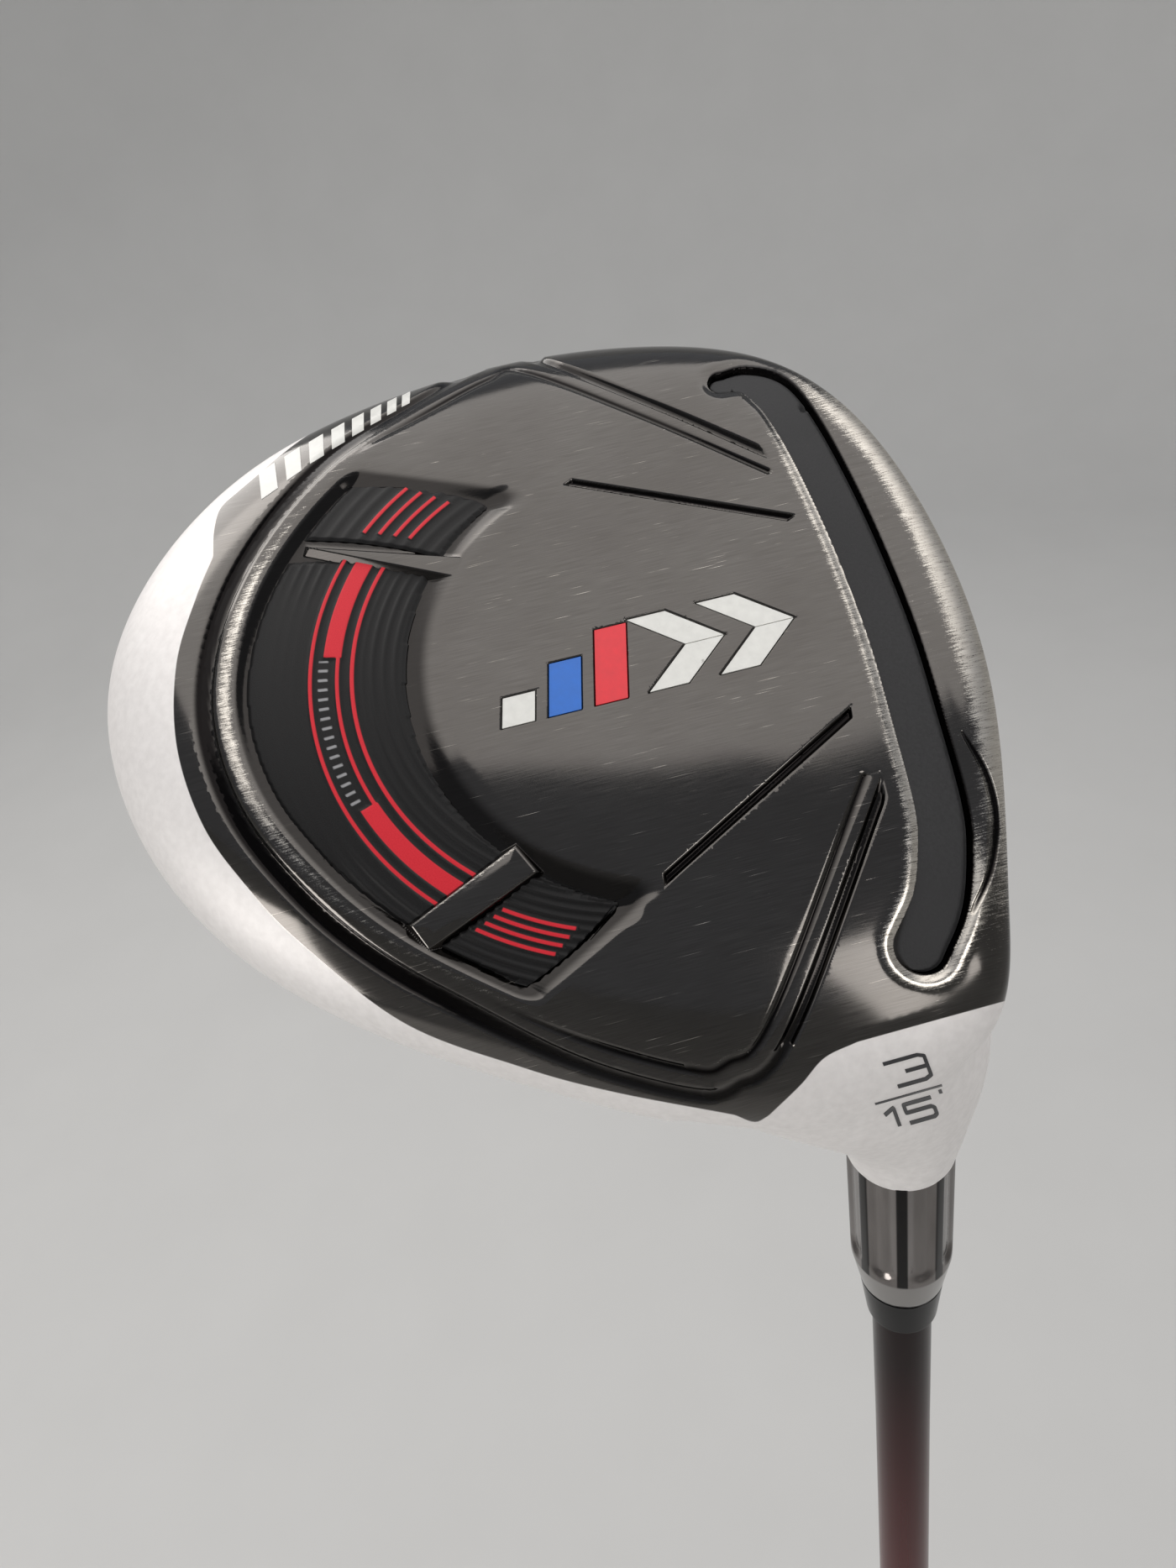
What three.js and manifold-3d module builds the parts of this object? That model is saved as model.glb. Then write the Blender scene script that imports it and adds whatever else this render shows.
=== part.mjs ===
// Fairway wood, right-handed, 15 degrees of loft.
//
// Units are millimetres. The club stands on its grip, as it does in a bag: the
// origin is the centre of the butt end, +Z runs up the shaft axis to the head,
// -Y is the way the face looks, and the toe reaches out to +X.
//
// The head is drawn in the frame that a club fitter uses: the origin is the
// point where the shaft axis meets the ground, x runs from heel to toe, t
// toward the target and z up from the sole to the crown.

import * as THREE from 'three';
import { mergeVertices } from 'three/addons/utils/BufferGeometryUtils.js';
import Module from 'manifold-3d';

const wasm = await Module();
wasm.setup();

// ---------------------------------------------------------------- dimensions

const CLUB_LENGTH = 1098.5; // butt end to the ground, along the shaft axis
const LIE = THREE.MathUtils.degToRad(58);
const LOFT = THREE.MathUtils.degToRad(15);

const SOLE_CENTRE = [26, -22, 0]; // where the sole touches the ground
const CROWN_APEX = [26, -16, 39]; // highest point of the crown
const SOLE_FULLNESS = 2.3; // exponent of the sole's section: higher is flatter
const WALL_SIDE = 1.2;
const WALL_SOLE = 1.9;
const FIT_GAP = 0.3; // clearance left between bonded pieces

const HOSEL_RADIUS = 6.95;
const NECK_TOP = 54.3; // distances along the shaft axis from the ground
const FLUTES_TOP = 74.5;
const HOSEL_TOP = 82;
const FERRULE_TOP = 90;
const HOSEL_ROOT = 34; // inner end of the hosel's tube, inside the head
const HOSEL_BORE_BOTTOM = 44;
const HOSEL_BORE_RADIUS = 4.5;
const FLUTE_COUNT = 8;
const FLUTE_DEPTH = 0.55;

const SHAFT_TIP_RADIUS = 4.25;
const SHAFT_TIP_PARALLEL = 75;
const SHAFT_BUTT_RADIUS = 7.6;
const SHAFT_TIP_WALL = 1.5;
const SHAFT_BUTT_WALL = 1.1;
const SHAFT_BUTT_INSET = 4; // the grip cap's thickness

const GRIP_LENGTH = 267;
const GRIP_BUTT_RADIUS = 13.4;
const GRIP_MOUTH_RADIUS = 7.9;
const TAPE_THICKNESS = 0.35;
const TAPE_LENGTH = 255;
const SLEEVE_GAP = 0.12; // radial clearance of the turned, coaxial pieces

const CROWN_THICKNESS = 0.9;
const CROWN_MARGIN = 2; // how far inside the shoulder the crown shell ends
const CROWN_LEDGE = 3.5; // width of the ledge that the crown is glued to
const CROWN_FRONT_T = -7; // where the crown shell starts behind the face
const CROWN_CORNER_T = -14; // where its front corners lie

const FACE_THICKNESS = 2.2;
const SCORE_LINES = 7;
const SCORE_PITCH = 3.2;
const SCORE_WIDTH = 0.7;
const SCORE_DEPTH = 0.35;

const SLOT_WIDTH = 5.8;
const SLOT_FILL_DEPTH = 5;
const SLOT_RECESS = 0.8; // the filler lies this far below the sole

const BADGE_CENTRE = [27.5, -23]; // shared centre of the sole badges' arcs
const BADGE_INNER_RADIUS = 24.5;
const BADGE_OUTER_RADIUS = 43;
const BADGE_THICKNESS = 0.8;
const BADGE_RECESS = 0.4; // a badge lies this far below the sole
// Each badge spans these angles, measured from straight back toward the toe.
const BADGES = {
  sole_badge_centre: [-38, 34],
  sole_badge_toe: [42, 55],
  sole_badge_heel: [-61, -47],
};

// The girth is the widest outline of the head seen from above; at the front it
// is the leading edge. The shoulder is the line above it where the crown
// starts; at the front it is the top line of the face.
// Each row is x, t, z of the girth, then x, t, z of the shoulder.
const OUTLINE = [
  [30, 18.8, 4, 29, 10.6, 35],
  [50, 17, 5, 47, 9.4, 33.5],
  [66.5, 10.5, 8.5, 60.5, 4.5, 29],
  [76.5, -3, 12.5, 71, -7, 25],
  [81.5, -22, 16, 77.5, -23, 24],
  [81.5, -43, 18, 78, -42, 24],
  [75.5, -63, 19, 72.5, -61, 23.5],
  [62, -78, 19.5, 60, -75, 23.5],
  [44, -85.3, 20, 43, -82, 23.5],
  [24.5, -83.5, 20, 25.5, -80, 23.5],
  [7.5, -73, 19.5, 9.5, -70.5, 23.5],
  [-5.5, -58, 18.5, -3, -56, 24],
  [-15, -41.5, 17.5, -12, -40, 25],
  [-22, -25, 17, -18, -24, 26],
  [-26.5, -9, 17, -21, -9, 27.5],
  [-22, 5, 13, -16, 1, 29],
  [-10, 10.5, 8, -6, 5, 31.5],
  [10, 16.5, 4.8, 11, 9.2, 34.4],
];
const OUTLINE_STEPS = OUTLINE.length * 3;

// ------------------------------------------------------------------- colours

function finish(name, color, roughness, metalness) {
  return new THREE.MeshStandardMaterial({ name, color, roughness, metalness });
}

const satinSteel = finish('satin_steel', 0xc9c6c2, 0.42, 1);
const faceSteel = finish('face_steel', 0x8d8b88, 0.45, 1);
const carbon = finish('carbon_crown', 0x17181a, 0.3, 0);
const slotRubber = finish('slot_rubber', 0x3a3a3b, 0.7, 0);
const badgeRubber = finish('badge_rubber', 0x222223, 0.65, 0);
const tungsten = finish('tungsten', 0x77777a, 0.5, 1);
const hotMelt = finish('hot_melt', 0xb79a5a, 0.6, 0);
const brass = finish('brass', 0xb08d45, 0.4, 1);
const ferruleBlack = finish('ferrule_black', 0x0b0b0c, 0.15, 0);
const shaftLacquer = finish('shaft_lacquer', 0x100c0c, 0.15, 0);
const gripRubber = finish('grip_rubber', 0x1b1b1c, 0.85, 0);
const tapePaper = finish('tape_paper', 0xcdb98a, 0.8, 0);

// ------------------------------------------------------------ solid geometry

// A closed mesh with merged vertices, as a manifold solid.
function solid(geometry) {
  const bare = geometry.index ? geometry.toNonIndexed() : geometry.clone();
  bare.deleteAttribute('normal');
  bare.deleteAttribute('uv');
  const merged = mergeVertices(bare, 1e-5);
  const mesh = new wasm.Mesh({
    numProp: 3,
    vertProperties: new Float32Array(merged.attributes.position.array),
    triVerts: new Uint32Array(merged.index.array),
  });
  return new wasm.Manifold(mesh);
}

// A manifold solid, as a three.js mesh.
function meshOf(name, body, material) {
  const { vertProperties, triVerts } = body.getMesh();
  const geometry = new THREE.BufferGeometry();
  geometry.setAttribute('position', new THREE.BufferAttribute(vertProperties, 3));
  geometry.setIndex(new THREE.BufferAttribute(triVerts, 1));
  geometry.computeVertexNormals();
  const mesh = new THREE.Mesh(geometry, material);
  mesh.name = name;
  return mesh;
}

// Closed skin over rings of equal point counts, with a pole point at each end.
// The rings run anticlockwise seen from the end pole.
function loft(startPole, rings, endPole) {
  const count = rings[0].length;
  const points = [startPole, ...rings.flat(), endPole];
  const last = points.length - 1;
  const faces = [];
  for (let i = 0; i < count; i += 1) {
    const j = (i + 1) % count;
    faces.push(0, 1 + j, 1 + i);
    for (let r = 0; r < rings.length - 1; r += 1) {
      const low = 1 + r * count;
      const high = low + count;
      faces.push(low + i, low + j, high + j);
      faces.push(low + i, high + j, high + i);
    }
    const top = 1 + (rings.length - 1) * count;
    faces.push(last, top + i, top + j);
  }
  const geometry = new THREE.BufferGeometry();
  geometry.setFromPoints(points);
  geometry.setIndex(faces);
  return geometry;
}

// A shape in the x-t plane of the head, extruded from one height to another.
function prism(shape, bottom, top, curveSegments = 8) {
  const geometry = new THREE.ExtrudeGeometry(shape, {
    depth: top - bottom,
    bevelEnabled: false,
    curveSegments,
  });
  geometry.translate(0, 0, bottom);
  return solid(geometry);
}

// A body of revolution about the shaft axis; pairs are radius and distance z.
function turned(profile, segments) {
  const points = profile.map(([radius, z]) => new THREE.Vector2(radius, z));
  const geometry = new THREE.LatheGeometry(points, segments);
  geometry.rotateX(Math.PI / 2);
  return geometry;
}

function turnedMesh(name, profile, segments, material) {
  const mesh = new THREE.Mesh(turned(profile, segments), material);
  mesh.name = name;
  return mesh;
}

// ---------------------------------------------------------------- head skin

const girth = new THREE.CatmullRomCurve3(
  OUTLINE.map((row) => new THREE.Vector3(row[0], row[1], row[2])), true, 'catmullrom', 0.5,
);
const shoulder = new THREE.CatmullRomCurve3(
  OUTLINE.map((row) => new THREE.Vector3(row[3], row[4], row[5])), true, 'catmullrom', 0.5,
);

// Points all round the head, anticlockwise seen from above.
function around(place) {
  return Array.from({ length: OUTLINE_STEPS }, (_, i) => place(1 - i / OUTLINE_STEPS));
}

// Sole: a superelliptic bowl from its centre out to the girth.
function solePoint(u, reach) {
  const edge = girth.getPoint(u);
  const point = new THREE.Vector3(...SOLE_CENTRE).lerp(edge, reach);
  point.z = edge.z * (1 - (1 - reach ** SOLE_FULLNESS) ** (1 / SOLE_FULLNESS));
  return point;
}

// Face and skirt: a slightly bulging band from the girth up to the shoulder.
const BAND_BULGE = 0.7;
function bandPoint(u, rise) {
  const low = girth.getPoint(u);
  const point = low.clone().lerp(shoulder.getPoint(u), rise);
  const outward = new THREE.Vector2(low.x - SOLE_CENTRE[0], low.y - SOLE_CENTRE[1]).normalize();
  const bulge = BAND_BULGE * Math.sin(Math.PI * rise);
  return point.add(new THREE.Vector3(outward.x * bulge, outward.y * bulge, 0));
}

// Crown: a dome from the shoulder up to the apex.
function crownPoint(u, reach) {
  const edge = shoulder.getPoint(u);
  const apex = new THREE.Vector3(...CROWN_APEX);
  const point = apex.clone().lerp(edge, reach);
  point.z = edge.z + (apex.z - edge.z) * (1 - reach ** 2);
  return point;
}

function headSkin() {
  const rings = [];
  for (const reach of [0.22, 0.42, 0.6, 0.75, 0.86, 0.94, 0.985, 1]) {
    rings.push(around((u) => solePoint(u, reach)));
  }
  for (const rise of [0.33, 0.67]) {
    rings.push(around((u) => bandPoint(u, rise)));
  }
  for (const reach of [1, 0.85, 0.65, 0.42, 0.2]) {
    rings.push(around((u) => crownPoint(u, reach)));
  }
  const low = new THREE.Vector3(...SOLE_CENTRE);
  const high = new THREE.Vector3(...CROWN_APEX);
  return solid(loft(low, rings, high));
}

// The head shrunk about its middle by a side wall and a sole or crown wall.
const HEAD_MIDDLE = [27, -32, 19];
const HEAD_HALF_WIDTH = 52;
function shrunk(body, side, height) {
  const [x, t, z] = HEAD_MIDDLE;
  const flat = 1 - side / HEAD_HALF_WIDTH;
  const tall = 1 - height / z;
  return body.translate([-x, -t, -z]).scale([flat, flat, tall]).translate([x, t, z]);
}

// ---------------------------------------------------------------- the pieces

// Turned bodies on the shaft axis, set into the head's frame: z of the profile
// is the distance from the ground along the axis.
function onHoselAxis(profile, segments) {
  const geometry = turned(profile, segments);
  geometry.rotateY(LIE - Math.PI / 2);
  return solid(geometry);
}

// A curved horn that carries the heel over into the round hosel. Each row is
// the distance along the axis, the shift toward the toe and toward the target,
// and the half widths across the toe direction and across the target direction.
const NECK_SECTIONS = [
  [20, 10.5, -10.5, 19.5, 18],
  [25, 8.7, -8.7, 18, 17.5],
  [31, 6, -6, 14.8, 15],
  [37, 3.2, -3.3, 11.6, 11.8],
  [42, 1.4, -1.4, 9.3, 9.4],
  [46, 0.6, -0.5, 8, 8.1],
  [50, 0.2, -0.1, 7.2, 7.2],
  [NECK_TOP, 0, 0, HOSEL_RADIUS, HOSEL_RADIUS],
];
const NECK_SIDES = 32;
function neck() {
  const ring = ([along, toToe, toTarget, halfToe, halfTarget]) => Array.from(
    { length: NECK_SIDES },
    (_, i) => {
      const angle = (2 * Math.PI * i) / NECK_SIDES;
      return new THREE.Vector3(
        toToe + halfToe * Math.cos(angle), toTarget + halfTarget * Math.sin(angle), along,
      );
    },
  );
  const pole = ([along, toToe, toTarget]) => new THREE.Vector3(toToe, toTarget, along);
  const rings = NECK_SECTIONS.map(ring);
  const geometry = loft(pole(NECK_SECTIONS[0]), rings, pole(NECK_SECTIONS.at(-1)));
  geometry.rotateY(LIE - Math.PI / 2);
  return solid(geometry);
}

// The end of the hosel above the neck: eight flutes and a chamfered tip.
function flutedHosel() {
  let body = onHoselAxis([
    [0, NECK_TOP - 2], [HOSEL_RADIUS - 0.1, NECK_TOP - 2], [HOSEL_RADIUS - 0.1, FLUTES_TOP],
    [HOSEL_RADIUS - 1.1, HOSEL_TOP], [0, HOSEL_TOP],
  ], 32);
  const depth = HOSEL_RADIUS - FLUTE_DEPTH;
  for (let i = 0; i < FLUTE_COUNT; i += 1) {
    const flat = new THREE.BoxGeometry(4, 8, FLUTES_TOP - NECK_TOP - 1.5);
    flat.translate(depth + 2, 0, (FLUTES_TOP + NECK_TOP) / 2);
    flat.rotateZ((2 * Math.PI * (i + 0.5)) / FLUTE_COUNT);
    flat.rotateY(LIE - Math.PI / 2);
    body = body.subtract(solid(flat));
  }
  return body;
}

function hoselBore() {
  return onHoselAxis([
    [0, HOSEL_BORE_BOTTOM], [HOSEL_BORE_RADIUS, HOSEL_BORE_BOTTOM],
    [HOSEL_BORE_RADIUS, HOSEL_TOP + 5], [0, HOSEL_TOP + 5],
  ], 24);
}

// The crown's outline seen from above, drawn in from the shoulder by a margin.
// Across the front it bows forward between two corners behind the face.
function crownOutline(margin) {
  const middle = new THREE.Vector2(CROWN_APEX[0], CROWN_APEX[1] - 14);
  const points = around((u) => {
    const edge = shoulder.getPoint(u);
    const flat = new THREE.Vector2(edge.x, edge.y);
    return flat.add(middle.clone().sub(flat).setLength(margin));
  }).filter((point) => point.y < CROWN_CORNER_T - margin);
  const shape = new THREE.Shape(points);
  const bow = 2 * CROWN_FRONT_T - CROWN_CORNER_T - margin;
  shape.quadraticCurveTo(middle.x, bow, points[0].x, points[0].y);
  return shape;
}

function crownShell(skin) {
  const under = shrunk(skin, CROWN_THICKNESS, CROWN_THICKNESS);
  return skin.subtract(under).intersect(prism(crownOutline(CROWN_MARGIN), 21, 60));
}

// The outline of the face insert on the face plane: heel to toe along x and
// the distance up the face.
function faceOutline(margin) {
  const shape = new THREE.Shape();
  shape.moveTo(-2 + margin, 10.5);
  shape.quadraticCurveTo(26, 3.6 + margin, 52, 7 + margin);
  shape.quadraticCurveTo(62 - margin, 9 + margin, 60.5 - margin, 18);
  shape.quadraticCurveTo(57 - margin, 29 - margin, 44, 32.2 - margin);
  shape.quadraticCurveTo(22, 35.4 - margin, 4, 30.6 - margin);
  shape.quadraticCurveTo(-4 + margin, 27 - margin, -2 + margin, 10.5);
  return shape;
}

// A prism square to the lofted face, reaching from behind it to in front.
function facePrism(margin, back, front) {
  const geometry = new THREE.ExtrudeGeometry(faceOutline(margin), {
    depth: front - back,
    bevelEnabled: false,
    curveSegments: 6,
  });
  geometry.translate(0, 0, back);
  return solid(ontoFace(geometry));
}

// Turns x, height, depth into the head's frame with the depth along the
// face's normal, which leans back by the loft.
const FACE_FOOT_T = 19.6;
function ontoFace(geometry) {
  const placed = geometry.index ? geometry.toNonIndexed() : geometry;
  placed.rotateX(Math.PI / 2 - LOFT);
  placed.scale(1, -1, 1);
  const position = placed.attributes.position;
  for (let i = 0; i < position.count; i += 3) {
    const second = new THREE.Vector3().fromBufferAttribute(position, i + 1);
    const third = new THREE.Vector3().fromBufferAttribute(position, i + 2);
    position.setXYZ(i + 1, third.x, third.y, third.z);
    position.setXYZ(i + 2, second.x, second.y, second.z);
  }
  placed.translate(0, FACE_FOOT_T, 0);
  return placed;
}

function scoreLines() {
  const lines = [];
  for (let i = 0; i < SCORE_LINES; i += 1) {
    const line = new THREE.BoxGeometry(40 - Math.abs(i - 3) * 1.5, SCORE_WIDTH, 12);
    line.translate(27, 9 + i * SCORE_PITCH, 0);
    lines.push(line);
  }
  return lines;
}

function facePlate(skin) {
  const normal = [0, Math.cos(LOFT), Math.sin(LOFT)];
  const behind = skin.translate(normal.map((part) => -part * FACE_THICKNESS));
  let plate = skin.subtract(behind).intersect(facePrism(FIT_GAP, -8, 8));
  const shallow = skin.translate(normal.map((part) => -part * SCORE_DEPTH));
  for (const line of scoreLines()) {
    plate = plate.subtract(solid(ontoFace(line)).subtract(shallow));
  }
  return plate;
}

// The slot follows the leading edge and hooks back at its toe end.
const SLOT_LINE = [
  [-13, -4.2], [-8, -0.2], [0, 4], [15, 6.9], [30, 7.8], [45, 7.3], [56, 5], [62, 0.6],
];
function slotOutline(width) {
  const line = new THREE.SplineCurve(SLOT_LINE.map(([x, t]) => new THREE.Vector2(x, t)));
  const steps = 18;
  const sides = [[], []];
  for (let i = 0; i <= steps; i += 1) {
    const point = line.getPoint(i / steps);
    const tangent = line.getTangent(i / steps);
    const normal = new THREE.Vector2(-tangent.y, tangent.x).multiplyScalar(width / 2);
    sides[0].push(point.clone().sub(normal));
    sides[1].push(point.clone().add(normal));
  }
  const roundEnd = (at, direction) => [-50, -20, 20, 50].map((degrees) => {
    const angle = THREE.MathUtils.degToRad(degrees);
    return direction.clone().rotateAround(new THREE.Vector2(), angle)
      .multiplyScalar(width / 2).add(at);
  });
  const start = roundEnd(line.getPoint(0), line.getTangent(0).negate());
  const end = roundEnd(line.getPoint(1), line.getTangent(1));
  return new THREE.Shape([...sides[0], ...end, ...sides[1].reverse(), ...start]);
}

function slotInsert(skin) {
  const flush = shrunk(skin, SLOT_RECESS, SLOT_RECESS);
  const deep = flush.translate([0, 0, SLOT_FILL_DEPTH]);
  const fill = prism(slotOutline(SLOT_WIDTH - 2 * FIT_GAP), -2, 14);
  return flush.subtract(deep).intersect(fill);
}

// A sector of the ring around the badges' shared centre.
function badgeSector([from, to], margin) {
  const [x, t] = BADGE_CENTRE;
  const place = (radius, degrees) => {
    const angle = THREE.MathUtils.degToRad(degrees);
    return new THREE.Vector2(x + radius * Math.sin(angle), t - radius * Math.cos(angle));
  };
  const spread = THREE.MathUtils.radToDeg(margin / BADGE_OUTER_RADIUS);
  const steps = Math.max(3, Math.round((to - from) / 6));
  const outer = [];
  const inner = [];
  for (let i = 0; i <= steps; i += 1) {
    const degrees = from + spread + ((to - from - 2 * spread) * i) / steps;
    outer.push(place(BADGE_OUTER_RADIUS - margin, degrees));
    inner.push(place(BADGE_INNER_RADIUS + margin, degrees));
  }
  return new THREE.Shape([...outer, ...inner.reverse()]);
}

function badgePocket(skin, span) {
  const depth = BADGE_RECESS + BADGE_THICKNESS + FIT_GAP;
  const floor = skin.translate([0, 0, depth]);
  return prism(badgeSector(span, 0), -2, 24).subtract(floor);
}

function badge(skin, span) {
  const front = skin.translate([0, 0, BADGE_RECESS]);
  const back = skin.translate([0, 0, BADGE_RECESS + BADGE_THICKNESS]);
  const body = prism(badgeSector(span, FIT_GAP), -2, 24).intersect(front);
  return body.subtract(back);
}

function soleBadges(skin) {
  return Object.entries(BADGES).map(
    ([name, span]) => meshOf(name, badge(skin, span), badgeRubber),
  );
}

// A slug that lies in the head, shaped by the inside of the sole.
function slug(cavity, x, t, radius, top, segments = 20) {
  const outline = new THREE.Shape();
  outline.absarc(x, t, radius, 0, 2 * Math.PI);
  return prism(outline, -2, top, segments / 2).intersect(cavity);
}

function headBody(skin) {
  const cavity = shrunk(skin, WALL_SIDE, WALL_SOLE);
  const hoselRoot = onHoselAxis([
    [0, HOSEL_ROOT], [HOSEL_RADIUS, HOSEL_ROOT], [HOSEL_RADIUS, NECK_TOP], [0, NECK_TOP],
  ], 24);
  const hollow = cavity.subtract(hoselRoot);
  const crownSeat = prism(crownOutline(CROWN_MARGIN - FIT_GAP), 21, 60)
    .subtract(shrunk(skin, CROWN_THICKNESS + FIT_GAP, CROWN_THICKNESS + FIT_GAP));
  const crownOpening = prism(crownOutline(CROWN_MARGIN + CROWN_LEDGE), 21, 60);
  let body = skin.add(neck().subtract(crownSeat)).subtract(hollow);
  body = body.add(flutedHosel()).subtract(hoselBore());
  body = body.subtract(crownSeat).subtract(crownOpening.subtract(hoselRoot));
  body = body.subtract(facePrism(0, -8, 8));
  body = body.subtract(prism(slotOutline(SLOT_WIDTH), -2, 14));
  for (const span of Object.values(BADGES)) {
    body = body.subtract(badgePocket(skin, span));
  }
  return body;
}

function headGroup() {
  const skin = headSkin();
  const inside = shrunk(skin, WALL_SIDE + FIT_GAP, WALL_SOLE + FIT_GAP);
  const group = new THREE.Group();
  group.add(
    meshOf('head_body', headBody(skin), satinSteel),
    meshOf('face_plate', facePlate(skin), faceSteel),
    meshOf('crown_shell', crownShell(skin), carbon),
    meshOf('slot_insert', slotInsert(skin), slotRubber),
    ...soleBadges(skin),
    meshOf('weight_toe', slug(inside, 66, -24, 8, 10), tungsten),
    meshOf('weight_heel', slug(inside, -8, -27, 8, 10), tungsten),
    meshOf('hot_melt_pad', slug(inside, 30, -58, 11, 6), hotMelt),
  );
  const toe = new THREE.Vector3(Math.sin(LIE), 0, Math.cos(LIE));
  const target = new THREE.Vector3(0, -1, 0);
  const up = new THREE.Vector3(Math.cos(LIE), 0, -Math.sin(LIE));
  group.applyMatrix4(new THREE.Matrix4().makeBasis(toe, target, up));
  group.position.set(0, 0, CLUB_LENGTH);
  return group;
}

// Height up the standing club of a point at a distance from the ground.
function up(distance) {
  return CLUB_LENGTH - distance;
}

const SHAFT_TIP_Z = up(HOSEL_BORE_BOTTOM + 1);

function shaftRadius(z) {
  const taper = SHAFT_TIP_Z - SHAFT_TIP_PARALLEL - SHAFT_BUTT_INSET;
  const share = Math.min(1, Math.max(0, (z - SHAFT_BUTT_INSET) / taper));
  return THREE.MathUtils.lerp(SHAFT_BUTT_RADIUS, SHAFT_TIP_RADIUS, share);
}

function shaft() {
  const parallelStart = SHAFT_TIP_Z - SHAFT_TIP_PARALLEL;
  return turnedMesh('shaft', [
    [SHAFT_BUTT_RADIUS - SHAFT_BUTT_WALL, SHAFT_BUTT_INSET],
    [SHAFT_BUTT_RADIUS, SHAFT_BUTT_INSET],
    [SHAFT_TIP_RADIUS, parallelStart],
    [SHAFT_TIP_RADIUS, SHAFT_TIP_Z],
    [SHAFT_TIP_RADIUS - SHAFT_TIP_WALL, SHAFT_TIP_Z],
    [SHAFT_TIP_RADIUS - SHAFT_TIP_WALL, parallelStart],
    [SHAFT_BUTT_RADIUS - SHAFT_BUTT_WALL, SHAFT_BUTT_INSET],
  ], 24, shaftLacquer);
}

// The pin that balances the swing weight, glued into the shaft's tip.
function tipPin() {
  const radius = SHAFT_TIP_RADIUS - SHAFT_TIP_WALL - SLEEVE_GAP;
  return turnedMesh('tip_weight_pin', [
    [0, SHAFT_TIP_Z - 14], [radius, SHAFT_TIP_Z - 13], [radius, SHAFT_TIP_Z], [0, SHAFT_TIP_Z],
  ], 16, brass);
}

function ferrule() {
  const bore = SHAFT_TIP_RADIUS + SLEEVE_GAP;
  const low = up(FERRULE_TOP);
  const high = up(HOSEL_TOP) - SLEEVE_GAP;
  return turnedMesh('ferrule', [
    [bore, low], [bore + 0.7, low], [bore + 1.2, low + 1], [HOSEL_RADIUS - 1.15, high],
    [bore, high], [bore, low],
  ], 32, ferruleBlack);
}

function gripTape() {
  const start = SHAFT_BUTT_INSET + SLEEVE_GAP;
  const end = TAPE_LENGTH;
  const inner = (z) => shaftRadius(z) + SLEEVE_GAP;
  const outer = (z) => inner(z) + TAPE_THICKNESS;
  return turnedMesh('grip_tape', [
    [inner(start), start], [outer(start), start], [outer(end), end], [inner(end), end],
    [inner(start), start],
  ], 24, tapePaper);
}

// The grip swells toward the butt, where its rim closes over the cap.
const CAP_RADIUS = 10.4;
function gripSleeve() {
  const bore = (z) => shaftRadius(z) + TAPE_THICKNESS + 2 * SLEEVE_GAP;
  const profile = [
    [CAP_RADIUS + SLEEVE_GAP, 0],
    [GRIP_BUTT_RADIUS - 1.6, 0],
    [GRIP_BUTT_RADIUS - 0.4, 0.9],
    [GRIP_BUTT_RADIUS, 2.6],
    [GRIP_BUTT_RADIUS - 0.3, 10],
  ];
  const steps = 8;
  for (let i = 1; i <= steps; i += 1) {
    const share = i / steps;
    const z = 10 + share * (GRIP_LENGTH - 14);
    const swell = (1 - share) ** 1.25;
    const radius = GRIP_MOUTH_RADIUS + (GRIP_BUTT_RADIUS - 0.3 - GRIP_MOUTH_RADIUS) * swell;
    profile.push([radius, z]);
  }
  profile.push(
    [GRIP_MOUTH_RADIUS - 0.3, GRIP_LENGTH],
    [bore(GRIP_LENGTH), GRIP_LENGTH],
    [bore(SHAFT_BUTT_INSET), SHAFT_BUTT_INSET],
    [CAP_RADIUS + SLEEVE_GAP, SHAFT_BUTT_INSET],
    [CAP_RADIUS + SLEEVE_GAP, 0],
  );
  return turnedMesh('grip', profile, 32, gripRubber);
}

// The moulded cap that closes the butt, with its vent hole.
const VENT_RADIUS = 1.6;
function gripCap() {
  const top = SHAFT_BUTT_INSET - SLEEVE_GAP;
  return turnedMesh('grip_cap', [
    [VENT_RADIUS, 0], [CAP_RADIUS, 0], [CAP_RADIUS, top], [VENT_RADIUS, top], [VENT_RADIUS, 0],
  ], 32, gripRubber);
}

const club = new THREE.Group();
club.add(headGroup(), shaft(), tipPin(), ferrule(), gripTape(), gripSleeve(), gripCap());

export default club;
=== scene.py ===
"""Fairway wood: the looks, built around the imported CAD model.

Shapes are drawn in millimetres in the head's own frame (x heel to toe, t toward the
target, z up from the sole) and moved into the part's frame, in metres, at the end.
Artwork and relief on the sole are laid out on the flat ground plane, in (x, t), and
thrown onto the curved sole along straight lines from EYE.
"""

import math
from contextlib import contextmanager

import bmesh
import bpy
import numpy as np
from mathutils import Matrix, Vector
from mathutils.bvhtree import BVHTree


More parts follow.
